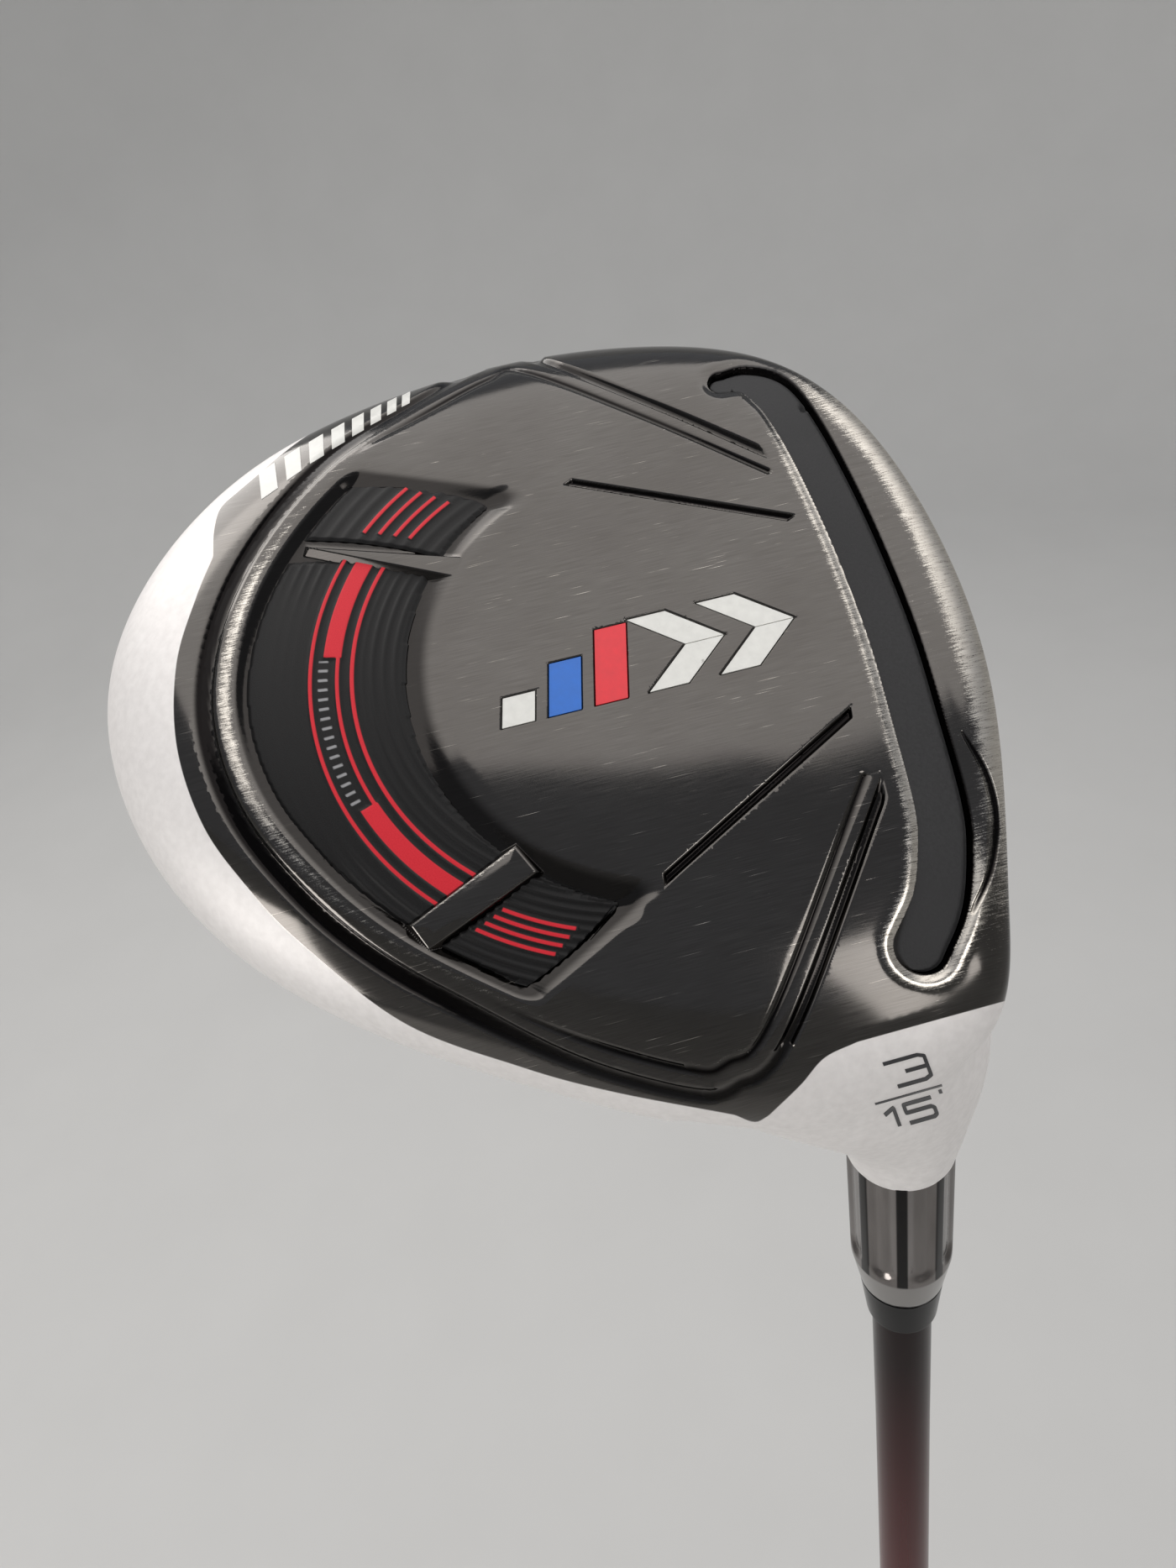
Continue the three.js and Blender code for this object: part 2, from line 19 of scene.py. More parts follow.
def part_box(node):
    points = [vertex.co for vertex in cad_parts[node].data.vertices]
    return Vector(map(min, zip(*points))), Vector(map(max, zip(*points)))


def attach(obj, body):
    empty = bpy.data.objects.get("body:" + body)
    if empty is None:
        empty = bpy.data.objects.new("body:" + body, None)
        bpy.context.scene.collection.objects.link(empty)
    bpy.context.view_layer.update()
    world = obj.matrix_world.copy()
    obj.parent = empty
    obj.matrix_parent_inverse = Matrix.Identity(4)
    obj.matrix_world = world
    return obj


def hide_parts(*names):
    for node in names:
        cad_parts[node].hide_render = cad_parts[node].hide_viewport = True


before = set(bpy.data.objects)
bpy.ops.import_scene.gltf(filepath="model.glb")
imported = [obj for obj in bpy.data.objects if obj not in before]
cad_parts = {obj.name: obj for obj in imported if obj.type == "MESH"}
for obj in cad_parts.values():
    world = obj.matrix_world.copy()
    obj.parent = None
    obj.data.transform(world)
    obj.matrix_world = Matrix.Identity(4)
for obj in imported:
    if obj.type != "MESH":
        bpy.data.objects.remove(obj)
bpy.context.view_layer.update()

# ------------------------------------------------------------------ driving sizes, mm
MM = 0.001
LIE = math.radians(58)
LOFT = math.radians(15)
SHAFT_TIP_DEPTH = 45.0  # the shaft's tip lies this far from the ground, along its axis
CLUB_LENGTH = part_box("shaft")[1].z / MM + SHAFT_TIP_DEPTH

SOLE_CENTRE = np.array([26.0, -22.0, 0.0])
CROWN_APEX = np.array([26.0, -16.0, 39.0])
CROWN_SCOOP = np.array([-34.0, -6.0])  # the crown stops short of the neck round here
SCOOP_RADIUS = 37.0
SOLE_FULLNESS = 2.3
BAND_BULGE = 0.7
FIT_GAP = 0.3
CROWN_THICKNESS = 0.9
CROWN_MARGIN = 2.0
FACE_THICKNESS = 2.2
SCORE_LINES = 7
SCORE_PITCH = 3.2
SCORE_HALF_WIDTH = 0.35
SCORE_DEPTH = 0.3
GRIP_COLLARS = (86, 160, 226)

HOSEL_RADIUS = 6.95
NECK_TOP = 54.3
FLUTES_TOP = 75.0
HOSEL_TOP = 82.0
FLUTES = 8
FLUTE_PITCH = 2 * math.pi / FLUTES
FLUTE_HALF_WIDTH = 2.15
FLUTE_DEPTH = 0.62
CHAMFER_FROM = FLUTES_TOP + 0.6

EYE = np.array([-36.75, -39.91, -113.11])  # where the sole's artwork is thrown from

# Girth x, t, z and shoulder x, t, z all round the head. The back is up to 2.2 mm
# leaner than the CAD model's, as in the photo.
OUTLINE = np.array([
    [30, 18.8, 4, 29, 10.6, 35],
    [50, 17, 5, 47, 9.4, 33.5],
    [66.5, 10.5, 8.5, 60.5, 4.5, 29],
    [76.5, -3, 12.5, 71, -7, 25],
    [81.5, -22, 16, 77.5, -23, 24],
    [80.8, -42.8, 18, 77.4, -41.8, 24],
    [74.5, -62.3, 19, 71.6, -60.3, 23.5],
    [61.2, -77.2, 19.5, 59.3, -74.3, 23.5],
    [44, -84.1, 20, 43, -81, 23.5],
    [24.9, -81.4, 20, 25.8, -78.1, 23.5],
    [8.5, -71.8, 19.5, 10.3, -69.4, 23.5],
    [-4.7, -57.4, 18.5, -2.3, -55.5, 24],
    [-15, -41.5, 17.5, -12, -40, 25],
    [-23.3, -25.5, 17.3, -18.8, -24.4, 26],
    [-26.5, -9, 17, -21, -9, 27.5],
    [-22, 5, 13, -16, 1, 29],
    [-10, 10.5, 8, -6, 5, 31.5],
    [10, 16.5, 4.8, 11, 9.2, 34.4],
])

# The neck's sections square to the shaft axis: distance from the ground, shift toward
# the toe and toward the target, half widths across the toe and target directions. They
# are up to 4.5 mm fuller than the CAD model's, as in the photo.
NECK_SECTIONS = np.array([
    [20, 9.5, -12.5, 20.5, 20],
    [25, 6.9, -9.8, 19.9, 21.7],
    [31, 3.6, -7.6, 17.6, 19.4],
    [37, 1.6, -4.4, 13.8, 15.3],
    [42, 0.6, -2.2, 10.7, 12.1],
    [46, 0.2, -0.8, 8.8, 9.7],
    [50, 0, -0.1, 7.5, 8],
    [NECK_TOP - 0.7, 0, 0, HOSEL_RADIUS, HOSEL_RADIUS],
    [NECK_TOP - 0.2, 0, 0, HOSEL_RADIUS - 0.2, HOSEL_RADIUS - 0.2],
    [NECK_TOP, 0, 0, HOSEL_RADIUS - 0.6, HOSEL_RADIUS - 0.6],
])

# Sole layout, (x, t) on the ground plane.
SLOT_LINE = [(59.6, -0.2), (59.2, 3.0), (56.2, 5.7), (50, 7.0), (40, 7.7), (30, 7.8), (20, 7.4),
             (10, 6.3), (0, 5.0), (-5, 3.5), (-10, 1.0), (-14, -2.6)]
SLOT_HALF_WIDTH = 2.75
PANEL_EDGE = [(45, 1), (57, -11), (67.6, -23), (67.6, -28), (64, -38), (60.3, -46.8), (54, -54.5),
              (46, -60.8), (37, -64.8), (28, -66.0), (18, -64.2), (8, -59.2), (0, -53.2),
              (-7, -45.8), (-14, -37), (-19.3, -28), (-19.6, -24.5), (-16.5, -19), (5, -1.8)]
DISC_CENTRE = (24.7, -17.2)
DISC_RADIUS = 26.2
BADGE_CENTRE = (26.0, -22.5)
RECESS_TOE = [(60, -47.5), (51, -28)]
RECESS_HEEL = [(-9.8, -41.5), (-3.5, -29.5)]
RECESS_DEPTH = 1.3
SPOKE_TOE = [(49.5, -53.5), (42, -37.0)]
SPOKE_HEEL = [(0, -50.5), (5.5, -38)]
SPOKES = [(SPOKE_TOE, 1.5, 0.1), (SPOKE_HEEL, 1.9, 0.9)]  # line, half width, first end's share
FINS = [[(51, -29), (54.3, -16.5)], [(-3, -29), (-6, -21)]]
GROOVES = [[(50, -22), (38, 1.5)], [(-0.5, -25), (12.3, -0.5)]]


# ------------------------------------------------------------------------ small maths
def smooth(low, high, value):
    """0 below low, 1 above high, an easy S between."""
    s = np.clip((value - low) / (high - low), 0, 1)
    return s * s * (3 - 2 * s)


def cubic(f, start, end, leaving, arriving):
    """Places at shares f of a cubic between two points with given slopes."""
    return ((2 * f**3 - 3 * f**2 + 1) * start + (f**3 - 2 * f**2 + f) * leaving
            + (3 * f**2 - 2 * f**3) * end + (f**3 - f**2) * arriving)


def closed_spline(points, u):
    """Smooth closed curve through points, at places u from 0 to 1."""
    p = np.asarray(points, float)
    n = len(p)
    ring = 4 * np.eye(n) + np.roll(np.eye(n), 1, 0) + np.roll(np.eye(n), -1, 0)
    slope = np.linalg.solve(ring, 3 * (np.roll(p, -1, 0) - np.roll(p, 1, 0)))
    place = (np.asarray(u) % 1) * n
    i = np.floor(place).astype(int) % n
    j = (i + 1) % n
    return cubic((place - np.floor(place))[:, None], p[i], p[j], slope[i], slope[j])


def open_spline(points, count):
    """Smooth open curve through points, as count points."""
    p = np.asarray(points, float)
    slope = np.gradient(p, axis=0)
    place = np.linspace(0, len(p) - 1, count)
    i = np.minimum(place.astype(int), len(p) - 2)
    return cubic((place - i)[:, None], p[i], p[i + 1], slope[i], slope[i + 1])


def full_turn(count):
    """Angles evenly round a circle."""
    return 2 * math.pi * np.arange(count) / count


def run_along(line):
    """How far along a polyline each of its points lies."""
    return np.concatenate([[0], np.cumsum(np.linalg.norm(np.diff(line, axis=0), axis=1))])


def point_at(places, run, line):
    """Points on a polyline at distances along it."""
    return np.column_stack([np.interp(places, run, line[:, k]) for k in (0, 1)])


def tangent_at(places, run, line, steps=400):
    """Unit directions of a polyline at distances along it."""
    tangent = np.gradient(point_at(np.linspace(0, run[-1], steps), run, line), axis=0)
    tangent /= np.linalg.norm(tangent, axis=1)[:, None]
    return tangent[np.clip((places / run[-1] * (steps - 1)).astype(int), 0, steps - 1)]


def to_line(points, line):
    """Distance of points from a polyline, and how far along it (0 to 1) the foot lies."""
    line = np.asarray(line, float)
    best = np.full(len(points), 1e9)
    along = np.zeros(len(points))
    lengths = np.linalg.norm(np.diff(line, axis=0), axis=1)
    total, gone = lengths.sum(), 0.0
    for start, end, length in zip(line[:-1], line[1:], lengths):
        step = (end - start) / length
        s = np.clip((points - start) @ step, 0, length)
        d = np.linalg.norm(points - start - s[:, None] * step, axis=1)
        near = d < best
        best[near] = d[near]
        along[near] = (gone + s[near]) / total
        gone += length
    return best, along


def side_of(points, polygon):
    """True for the points inside a polygon."""
    inside = np.zeros(len(points), bool)
    p = np.asarray(polygon, float)
    for (x0, y0), (x1, y1) in zip(p, np.roll(p, -1, 0)):
        if y0 == y1:
            continue
        crosses = (y0 > points[:, 1]) != (y1 > points[:, 1])
        at = x0 + (points[:, 1] - y0) * (x1 - x0) / (y1 - y0)
        inside ^= crosses & (points[:, 0] < at)
    return inside


def beyond(points, line):
    """Signed distance of points from the endless line through two points, left of it."""
    start, end = np.asarray(line, float)
    step = (end - start) / np.linalg.norm(end - start)
    return (points - start) @ np.array([-step[1], step[0]])


# ------------------------------------------------------------------------- the frames
TO_PART = Matrix((
    (math.sin(LIE), 0, math.cos(LIE), 0),
    (0, -1, 0, 0),
    (math.cos(LIE), 0, -math.sin(LIE), CLUB_LENGTH),
    (0, 0, 0, 1),
))
TO_METRES = Matrix.Scale(MM, 4)
HEAD_TO_SCENE = TO_METRES @ TO_PART
ALONG_SHAFT = np.array([-math.cos(LIE), 0, math.sin(LIE)])
TOEWARD = np.array([math.sin(LIE), 0, math.cos(LIE)])
TARGETWARD = np.array([0, 1.0, 0])


def laid_flat(points):
    """Where the line from EYE through each point meets the ground plane, as (x, t)."""
    depth = points[:, 2] - EYE[2]
    return EYE[:2] + (points[:, :2] - EYE[:2]) * (-EYE[2] / depth)[:, None]


# --------------------------------------------------------------------------- meshes
def as_vectors(flat):
    """Layout places with a third number, 0."""
    flat = flat.reshape(-1, 2)
    return np.column_stack([flat, np.zeros(len(flat))])


def make_mesh(name, points, *face_sets):
    """A mesh from an array of points and arrays of triangles or quads."""
    mesh = bpy.data.meshes.new(name)
    mesh.vertices.add(len(points))
    mesh.vertices.foreach_set("co", np.asarray(points, np.float32).ravel())
    corners = np.concatenate([f.ravel() for f in face_sets]).astype(np.int32)
    sizes = np.concatenate([np.full(len(f), f.shape[1]) for f in face_sets])
    mesh.loops.add(len(corners))
    mesh.loops.foreach_set("vertex_index", corners)
    mesh.polygons.add(len(sizes))
    starts = np.concatenate([[0], np.cumsum(sizes)[:-1]]).astype(np.int32)
    mesh.polygons.foreach_set("loop_start", starts)
    mesh.update(calc_edges=True)
    return mesh


def read(items, key, width=1, kind=np.float32):
    """A property of all vertices, corners or faces, as an array."""
    values = np.empty(len(items) * width, kind)
    items.foreach_get(key, values)
    return values if width == 1 else values.reshape(-1, width).astype(float)


def points_of(mesh):
    return read(mesh.vertices, "co", 3)


def set_points(mesh, points):
    """Moves the mesh's points."""
    mesh.vertices.foreach_set("co", points.astype(np.float32).ravel())
    mesh.update()
    return mesh


@contextmanager
def edited(mesh):
    """Lends a mesh out as a bmesh and takes the result back."""
    shape = bmesh.new()
    shape.from_mesh(mesh)
    yield shape
    shape.to_mesh(mesh)
    shape.free()


def shown(name, data):
    """A new object in the scene."""
    made = bpy.data.objects.new(name, data)
    bpy.context.scene.collection.objects.link(made)
    return made


def joined(low, n, high, m):
    """Faces between two rings of points; the second has as many points, or half."""
    i = np.arange(n)
    j = (i + 1) % n
    if n == m:
        return [np.stack([low + i, low + j, high + j, high + i], 1)]
    k = np.arange(m)
    a, b, c = low + 2 * k, low + 2 * k + 1, low + (2 * k + 2) % n
    d, e = high + k, high + (k + 1) % m
    return [np.stack([a, b, d], 1), np.stack([b, e, d], 1), np.stack([b, c, e], 1)]


def skin_mesh(name, rings, start_pole, end_pole):
    """A closed skin over rings of points, with a pole at each end."""
    starts = np.cumsum([1] + [len(ring) for ring in rings])
    first, last = np.arange(len(rings[0])), np.arange(len(rings[-1]))
    faces = [np.stack([np.zeros(len(first), int), 1 + (first + 1) % len(first), 1 + first], 1)]
    for low, high, ring, after in zip(starts, starts[1:], rings, rings[1:]):
        if len(ring) >= len(after):
            faces += joined(low, len(ring), high, len(after))
        else:
            faces += [f[:, ::-1] for f in joined(high, len(after), low, len(ring))]
    faces.append(np.stack([np.full(len(last), starts[-1]), starts[-2] + last,
                           starts[-2] + (last + 1) % len(last)], 1))
    return make_mesh(name, np.concatenate([start_pole[None], *rings, end_pole[None]]), *faces)


def slab(name, top, bottom):
    """A closed plate between two grids of points, each rows x columns x 3."""
    rows, columns = top.shape[:2]
    index = np.arange(rows * columns).reshape(rows, columns)
    a, b, c, d = index[:-1, :-1], index[1:, :-1], index[1:, 1:], index[:-1, 1:]
    upper = np.stack([a, b, c, d], -1).reshape(-1, 4)
    shift = rows * columns
    lower = upper[:, ::-1] + shift
    rim = np.concatenate([index[:, 0], index[-1, 1:], index[-2::-1, -1], index[0, -2:0:-1]])
    after = np.roll(rim, -1)
    walls = np.stack([after, rim, rim + shift, after + shift], 1)
    points = np.concatenate([top.reshape(-1, 3), bottom.reshape(-1, 3)])
    mesh = make_mesh(name, points, upper, lower, walls)
    outward(mesh)
    return mesh


def outward(mesh):
    """Turns every face of a closed mesh outward."""
    with edited(mesh) as shape:
        bmesh.ops.recalc_face_normals(shape, faces=shape.faces)
        if shape.calc_volume(signed=True) < 0:
            bmesh.ops.reverse_faces(shape, faces=shape.faces)


def prism(name, outline, low, high, frame_of=None):
    """A closed prism over an outline of (x, y), between two heights."""
    outline = np.asarray(outline, float)
    n = len(outline)
    points = np.concatenate([
        np.column_stack([outline, np.full(n, low)]),
        np.column_stack([outline, np.full(n, high)]),
    ])
    if frame_of is not None:
        points = frame_of(points)
    mesh = bpy.data.meshes.new(name)
    with edited(mesh) as shape:
        corners = [shape.verts.new(p) for p in points]
        shape.faces.new(corners[:n][::-1])
        shape.faces.new(corners[n:])
        for i in range(n):
            j = (i + 1) % n
            shape.faces.new([corners[i], corners[j], corners[n + j], corners[n + i]])
        bmesh.ops.triangulate(shape, faces=[f for f in shape.faces if len(f.verts) > 4])
    outward(mesh)
    return mesh


def boolean(mesh, operation, *tools):
    """mesh after UNION, DIFFERENCE or INTERSECT with each tool mesh in turn."""
    for tool in tools:
        body, other = shown("body", mesh), shown("tool", tool)
        cut = body.modifiers.new("cut", "BOOLEAN")
        cut.solver = "MANIFOLD"
        cut.operation = operation
        cut.object = other
        graph = bpy.context.evaluated_depsgraph_get()
        result = bpy.data.meshes.new_from_object(body.evaluated_get(graph))
        for thing in (body, other):
            bpy.data.objects.remove(thing)
        mesh = result
    return mesh


def add_piece(name, mesh, material, replaced, place=HEAD_TO_SCENE, sharp=40):
    """Shows a mesh as a piece of the object."""
    mesh.transform(place)
    mesh.name = name
    mesh.materials.clear()
    mesh.materials.append(material)
    mesh.shade_smooth()
    mesh.set_sharp_from_angle(angle=math.radians(sharp))
    piece = shown(name, mesh)
    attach(piece, "root")
    if replaced:
        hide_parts(*replaced)
    return piece


def give(mesh, name, values):
    """Stores one number, or one vector, for each vertex."""
    kind = "FLOAT" if values.ndim == 1 else "FLOAT_VECTOR"
    attribute = mesh.attributes.new(name, kind, "POINT")
    key = "value" if values.ndim == 1 else "vector"
    attribute.data.foreach_set(key, values.astype(np.float32).ravel())


# ------------------------------------------------------------------------ head skin
def sole_points(u, reach):
    """The smooth sole at places u round the girth, at a share of the way out to it."""
    edge = closed_spline(OUTLINE[:, :3], u)
    point = SOLE_CENTRE + reach[:, None] * (edge - SOLE_CENTRE)
    rise = 1 - np.clip(1 - reach**SOLE_FULLNESS, 0, 1) ** (1 / SOLE_FULLNESS)
    point[:, 2] = edge[:, 2] * rise
    return point


def band_points(u, rise):
    """The skirt between girth and shoulder, bulging a little."""
    low = closed_spline(OUTLINE[:, :3], u)
    high = closed_spline(OUTLINE[:, 3:], u)
    away = low[:, :2] - SOLE_CENTRE[:2]
    away /= np.linalg.norm(away, axis=1)[:, None]
    point = low + (high - low) * rise
    point[:, :2] += away * BAND_BULGE * math.sin(math.pi * rise)
    return point


def crown_points(u, reach):
    """The smooth crown at places u round the shoulder, at a share of the way out to it."""
    edge = closed_spline(OUTLINE[:, 3:], u)
    point = CROWN_APEX + reach * (edge - CROWN_APEX)
    point[:, 2] = edge[:, 2] + (CROWN_APEX[2] - edge[:, 2]) * (1 - reach**2)
    return point


def turns(count):
    """Places round the outline, anticlockwise seen from above."""
    return 1 - np.arange(count) / count


def sole_reaches(count):
    """Reaches from the centre to the girth, evenly spaced along the sole's skin."""
    q = np.sin(np.linspace(0, math.pi / 2, 4000))
    rise = 17 * (1 - (1 - q**SOLE_FULLNESS) ** (1 / SOLE_FULLNESS))
    run = np.concatenate([[0], np.cumsum(np.hypot(np.diff(52 * q), np.diff(rise)))])
    return np.interp(np.linspace(0, run[-1], count + 1)[1:], run, q)


def around_count(full, reach):
    """Points on a ring of the skin: fewer where the rings are short."""
    return full if reach > 0.46 else full // 2 if reach > 0.2 else full // 4


# --------------------------------------------------------------------- sole's relief
SLOT_CURVE = open_spline(SLOT_LINE, 70)
PANEL_CURVE = open_spline(PANEL_EDGE, 150)
PANEL_FRONT = [(5, 40), (45, 40)]


def slot_half_width(along):
    """Half the slot's width along it; the toe end narrows to a hook."""
    return SLOT_HALF_WIDTH - 1.2 * smooth(0.09, 0.0, along)


def slot_distance(flat):
    """Distance outside the slot's edge."""
    distance, along = to_line(flat, SLOT_CURVE)
    return distance - slot_half_width(along)


def panel_distance(flat):
    """Distance outside the raised sole panel's edge, and the place along that edge."""
    distance, along = to_line(flat, PANEL_CURVE)
    inside = side_of(flat, np.concatenate([PANEL_CURVE, PANEL_FRONT]))
    return np.where(inside, -distance, distance), along


def groove_edge(flat, line):
    """Distance outside one of the thin cut grooves beside the disc."""
    return bar(flat, line, 0.42, slant=0.8)


def bar(flat, line, half, first=1.0, slant=0.0):
    """Distance outside a straight bar with cut ends; first is its first end's share of
    the width, slant leans the ends."""
    start, end = np.array(line, float)
    length = np.linalg.norm(end - start)
    along = (end - start) / length
    away = flat - start
    run = away @ along
    off = away @ np.array([-along[1], along[0]])
    width = half * (first + (1 - first) * np.clip(run / length, 0, 1))
    past = np.abs(run + slant * off - length / 2) - length / 2
    return np.maximum(np.abs(off) - width, past * 0.8)


def recess_depth(flat, panel):
    """How far the floor of the ribbed recess lies below the sole, from 0 to 1."""
    from_disc = np.linalg.norm(flat - DISC_CENTRE, axis=1) - DISC_RADIUS
    return (smooth(-1.2, 4.0, from_disc) * smooth(1.0, 2.4, -panel) * smooth(-8, -15, flat[:, 1])
            * smooth(-0.8, 3.0, beyond(flat, RECESS_TOE))
            * smooth(-0.8, 2.4, -beyond(flat, RECESS_HEEL)))


def rounded_back(along):
    """1 along the worn lip round the back of the panel, 0 along its straight sides."""
    return smooth(0.22, 0.3, along) * smooth(0.78, 0.68, along)


def moat(panel, back):
    """1 on the floor of the groove round the panel; it starts further out at the sides."""
    inner = 0.75 + 0.8 * (1 - back)
    return smooth(0, 0.65, panel - inner) * smooth(3.2, 2.6, panel)


def front_slit(flat):
    """1 in the thin slit ahead of the slot's heel end, pointed at both ends: cut a little into the
    sole, its darkness is painted shade.
    """
    line = open_spline([(7, 10.0), (2, 10.5), (-3, 9.6), (-8, 7.0), (-12, 3.4)], 60)
    distance, along = to_line(flat, line)
    return smooth(0.15, -0.15, distance - 0.5 * np.sqrt(np.clip(along * (1 - along), 0, 1)) * 1.6)


def relief(flat):
    """Height of the sole's relief above its smooth skin, in mm."""
    slot = slot_distance(flat)
    panel, along = panel_distance(flat)
    clear = smooth(2.6, 3.4, slot)
    height = -RECESS_DEPTH * recess_depth(flat, panel)
    for line, half, first in SPOKES:
        edge = bar(flat, line, half, first)
        top = -0.25 + 0.2 * smooth(0.2, -1.6, edge)
        height = np.maximum(height, top - (RECESS_DEPTH - 0.25) * smooth(-0.3, 0.7, edge))
    for line in FINS:
        distance, share = to_line(flat, line)
        height -= 0.3 * (1 - share) ** 1.5 * np.exp(-(distance / (1.3 - 0.9 * share)) ** 2)
    for line in GROOVES:
        height -= 0.5 * smooth(0.25, -0.25, groove_edge(flat, line)) * clear
    back = rounded_back(along)
    height += clear * (0.16 * smooth(-2.6, -0.4, panel) * smooth(1.2, 0.3, panel) * back
                       - 0.35 * np.exp(-((panel - 0.1) / 0.4) ** 2) * (1 - back)
                       - 0.6 * moat(panel, back))
    height -= 0.28 * smooth(0.22, 0.0, emblem_distance(flat))
    # The slot: rolled lips, then a straight wall down to the filler.
    roll = 0.6 * smooth(2.0, 0.0, slot)
    height -= roll * roll + 1.4 * smooth(0.1, -0.3, slot)
    heel_end = smooth(2.0, -9.0, flat[:, 0])
    height += heel_end * 0.25 * np.exp(-((slot - 0.8) / 0.6) ** 2)
    return height - 0.3 * front_slit(flat)


def soot(flat, panel, slot):
    """Painted shade, 0 to 1: the narrow grooves stay black, and the moat, slot wall, slit and
    recess are darkened as if in shadow.
    """
    clear = smooth(2.6, 3.4, slot)
    lines = [smooth(0.1, -0.12, groove_edge(flat, line)) for line in GROOVES]
    _, along = to_line(flat, PANEL_CURVE)
    back = rounded_back(along)
    side = np.exp(-((panel - 0.1) / 0.35) ** 2) * (1 - back)
    ditch = moat(panel, back) * (0.8 + 0.2 * back)
    trench = smooth(0.12, -0.2, slot) * smooth(-4.5, -1.0, slot)
    slopes = 0.75 * smooth(0.1, 0.5, recess_depth(flat, panel))
    for line, half, first in SPOKES:
        slopes = slopes * smooth(-0.2, 0.2, bar(flat, line, half, first))
    dark = clear * (sum(lines) + side + ditch) + slopes
    return np.clip(np.maximum(dark, trench) + front_slit(flat), 0, 1)


def wear(flat, panel, slot):
    """How worn the dark finish is, from 0 to 1: lips, the panel's edge, leading edge."""
    front = leading_edge_distance(flat)
    _, along = to_line(flat, PANEL_CURVE)
    lip = smooth(2.4, 0.5, slot) * smooth(-0.3, 0.1, slot)
    rear = smooth(8.5, 5.0, flat[:, 1]) * smooth(56, 44, flat[:, 0])
    lip *= 0.15 + 0.75 * rear
    edge = smooth(0.8, 0.1, panel) * smooth(-1.8, -0.5, panel)
    edge *= rounded_back(along) * smooth(0.29, 0.43, along) * (1 - 0.7 * smooth(0.5, 0.66, along))
    spoke = np.array(SPOKE_HEEL) + [1.1, -0.5]
    rubbed = 0.55 * smooth(0.5, 0.1, np.abs(bar(flat, SPOKE_HEEL, 1.9, 0.9) + 0.5))
    rubbed *= smooth(-0.2, 0.4, -beyond(flat, spoke))
    side = 0.25 * np.exp(-((panel + 0.5) / 0.2) ** 2)
    lead = smooth(4.2, 1.2, front) * smooth(-21, -8, flat[:, 0]) * smooth(62, 48, flat[:, 0])
    lead *= 0.6 + 0.4 * smooth(-8, 2, flat[:, 0])
    return np.clip(lip + 0.6 * edge + side + lead + rubbed, 0, 1)


def leading_edge_distance(flat):
    """Distance behind the visible front edge of the sole."""
    edge = open_spline([(-26, -4), (-18, 4.5), (-8, 9.8), (5, 13.6), (18, 15.9), (30, 16.6),
                        (42, 15.9), (52, 13.2), (60, 8.6), (66, 2), (70, -10)], 60)
    distance, _ = to_line(flat, edge)
    return distance


def paint_border():
    """The dark finish's outline: straight at the neck, smooth runs round the back."""
    neck = [(-21, 12), (-21, 3), (-21, -12)]
    turn = open_spline([(-21, -12), (-21.6, -15.5), (-23.4, -18.5), (-25.3, -22.3)], 24)
    corner = open_spline([(-25.3, -22.3), (-25.5, -23.7), (-24.4, -25.3)], 12)
    rear = open_spline([(-24.4, -25.3), (-19.4, -35.7), (-14.9, -43.5), (-7.8, -53.5), (2.9, -62),
                        (10, -66.2), (18.1, -69.7), (28, -71.2), (38, -70), (46, -66.8),
                        (51, -64.2)], 120)
    jog = open_spline([(51, -64.2), (54.6, -63.6), (57.6, -62.4), (59.6, -59.8)], 24)
    toe = open_spline([(59.6, -59.8), (65, -51.5), (69, -42), (75, -32), (95, -20)], 50)
    front = np.array([(95, 30), (-10, 30)], float)
    return np.concatenate([neck, turn[1:], corner[1:], rear[1:], jog[1:], toe[1:], front])


PAINT_BORDER = paint_border()


def paint_distance(points, flat):
    """Distance outside the dark finish: negative where it is dark, positive on silver."""
    distance, _ = to_line(flat, np.concatenate([PAINT_BORDER, PAINT_BORDER[:1]]))
    side = np.where(side_of(flat, PAINT_BORDER), -distance, distance)
    _, girth = sole_reach(points[:, :2])
    heel_rear = smooth(5, -8, flat[:, 0]) * smooth(-12, -18, flat[:, 1])
    return np.maximum(side, points[:, 2] - girth - 2.2 + 3.0 * heel_rear)


SKIN_TURNS = 960
SKIN_RINGS = 140


def plain_skin(count, sole_rings, name="skin"):
    """The head's smooth outer skin, without relief."""
    rings = []
    for q in sole_reaches(sole_rings):
        u = turns(around_count(count, q))
        rings.append(sole_points(u, np.full(len(u), q)))
    rings += [band_points(turns(count), w) for w in np.linspace(0, 1, 11)[1:-1]]
    for q in np.linspace(1, 0, 34)[:-1]:
        rings.append(crown_points(turns(around_count(count, q)), q))
    return skin_mesh(name, rings, SOLE_CENTRE, CROWN_APEX)


def sole_lift(points):
    """The relief's height at points of the skin; nothing on the skirt and the crown."""
    lift = np.zeros(len(points))
    reach, edge = sole_reach(points[:, :2])
    low = (points[:, 2] < edge + 0.01) & (reach < 0.999)
    lift[low] = relief(laid_flat(points[low])) * smooth(0.998, 0.955, reach[low])
    return lift


def refine(mesh, step=0.035):
    """Splits the faces over which the relief rises or falls by more than a step."""
    lift = sole_lift(points_of(mesh))
    corners = read(mesh.loops, "vertex_index", kind=np.int32)
    starts = read(mesh.polygons, "loop_start", kind=np.int32)
    climb = np.maximum.reduceat(lift[corners], starts) - np.minimum.reduceat(lift[corners], starts)
    with edited(mesh) as shape:
        shape.faces.ensure_lookup_table()
        edges = {edge for i in np.flatnonzero(climb > step) for edge in shape.faces[i].edges}
        bmesh.ops.subdivide_edges(shape, edges=list(edges), cuts=1, use_grid_fill=True)


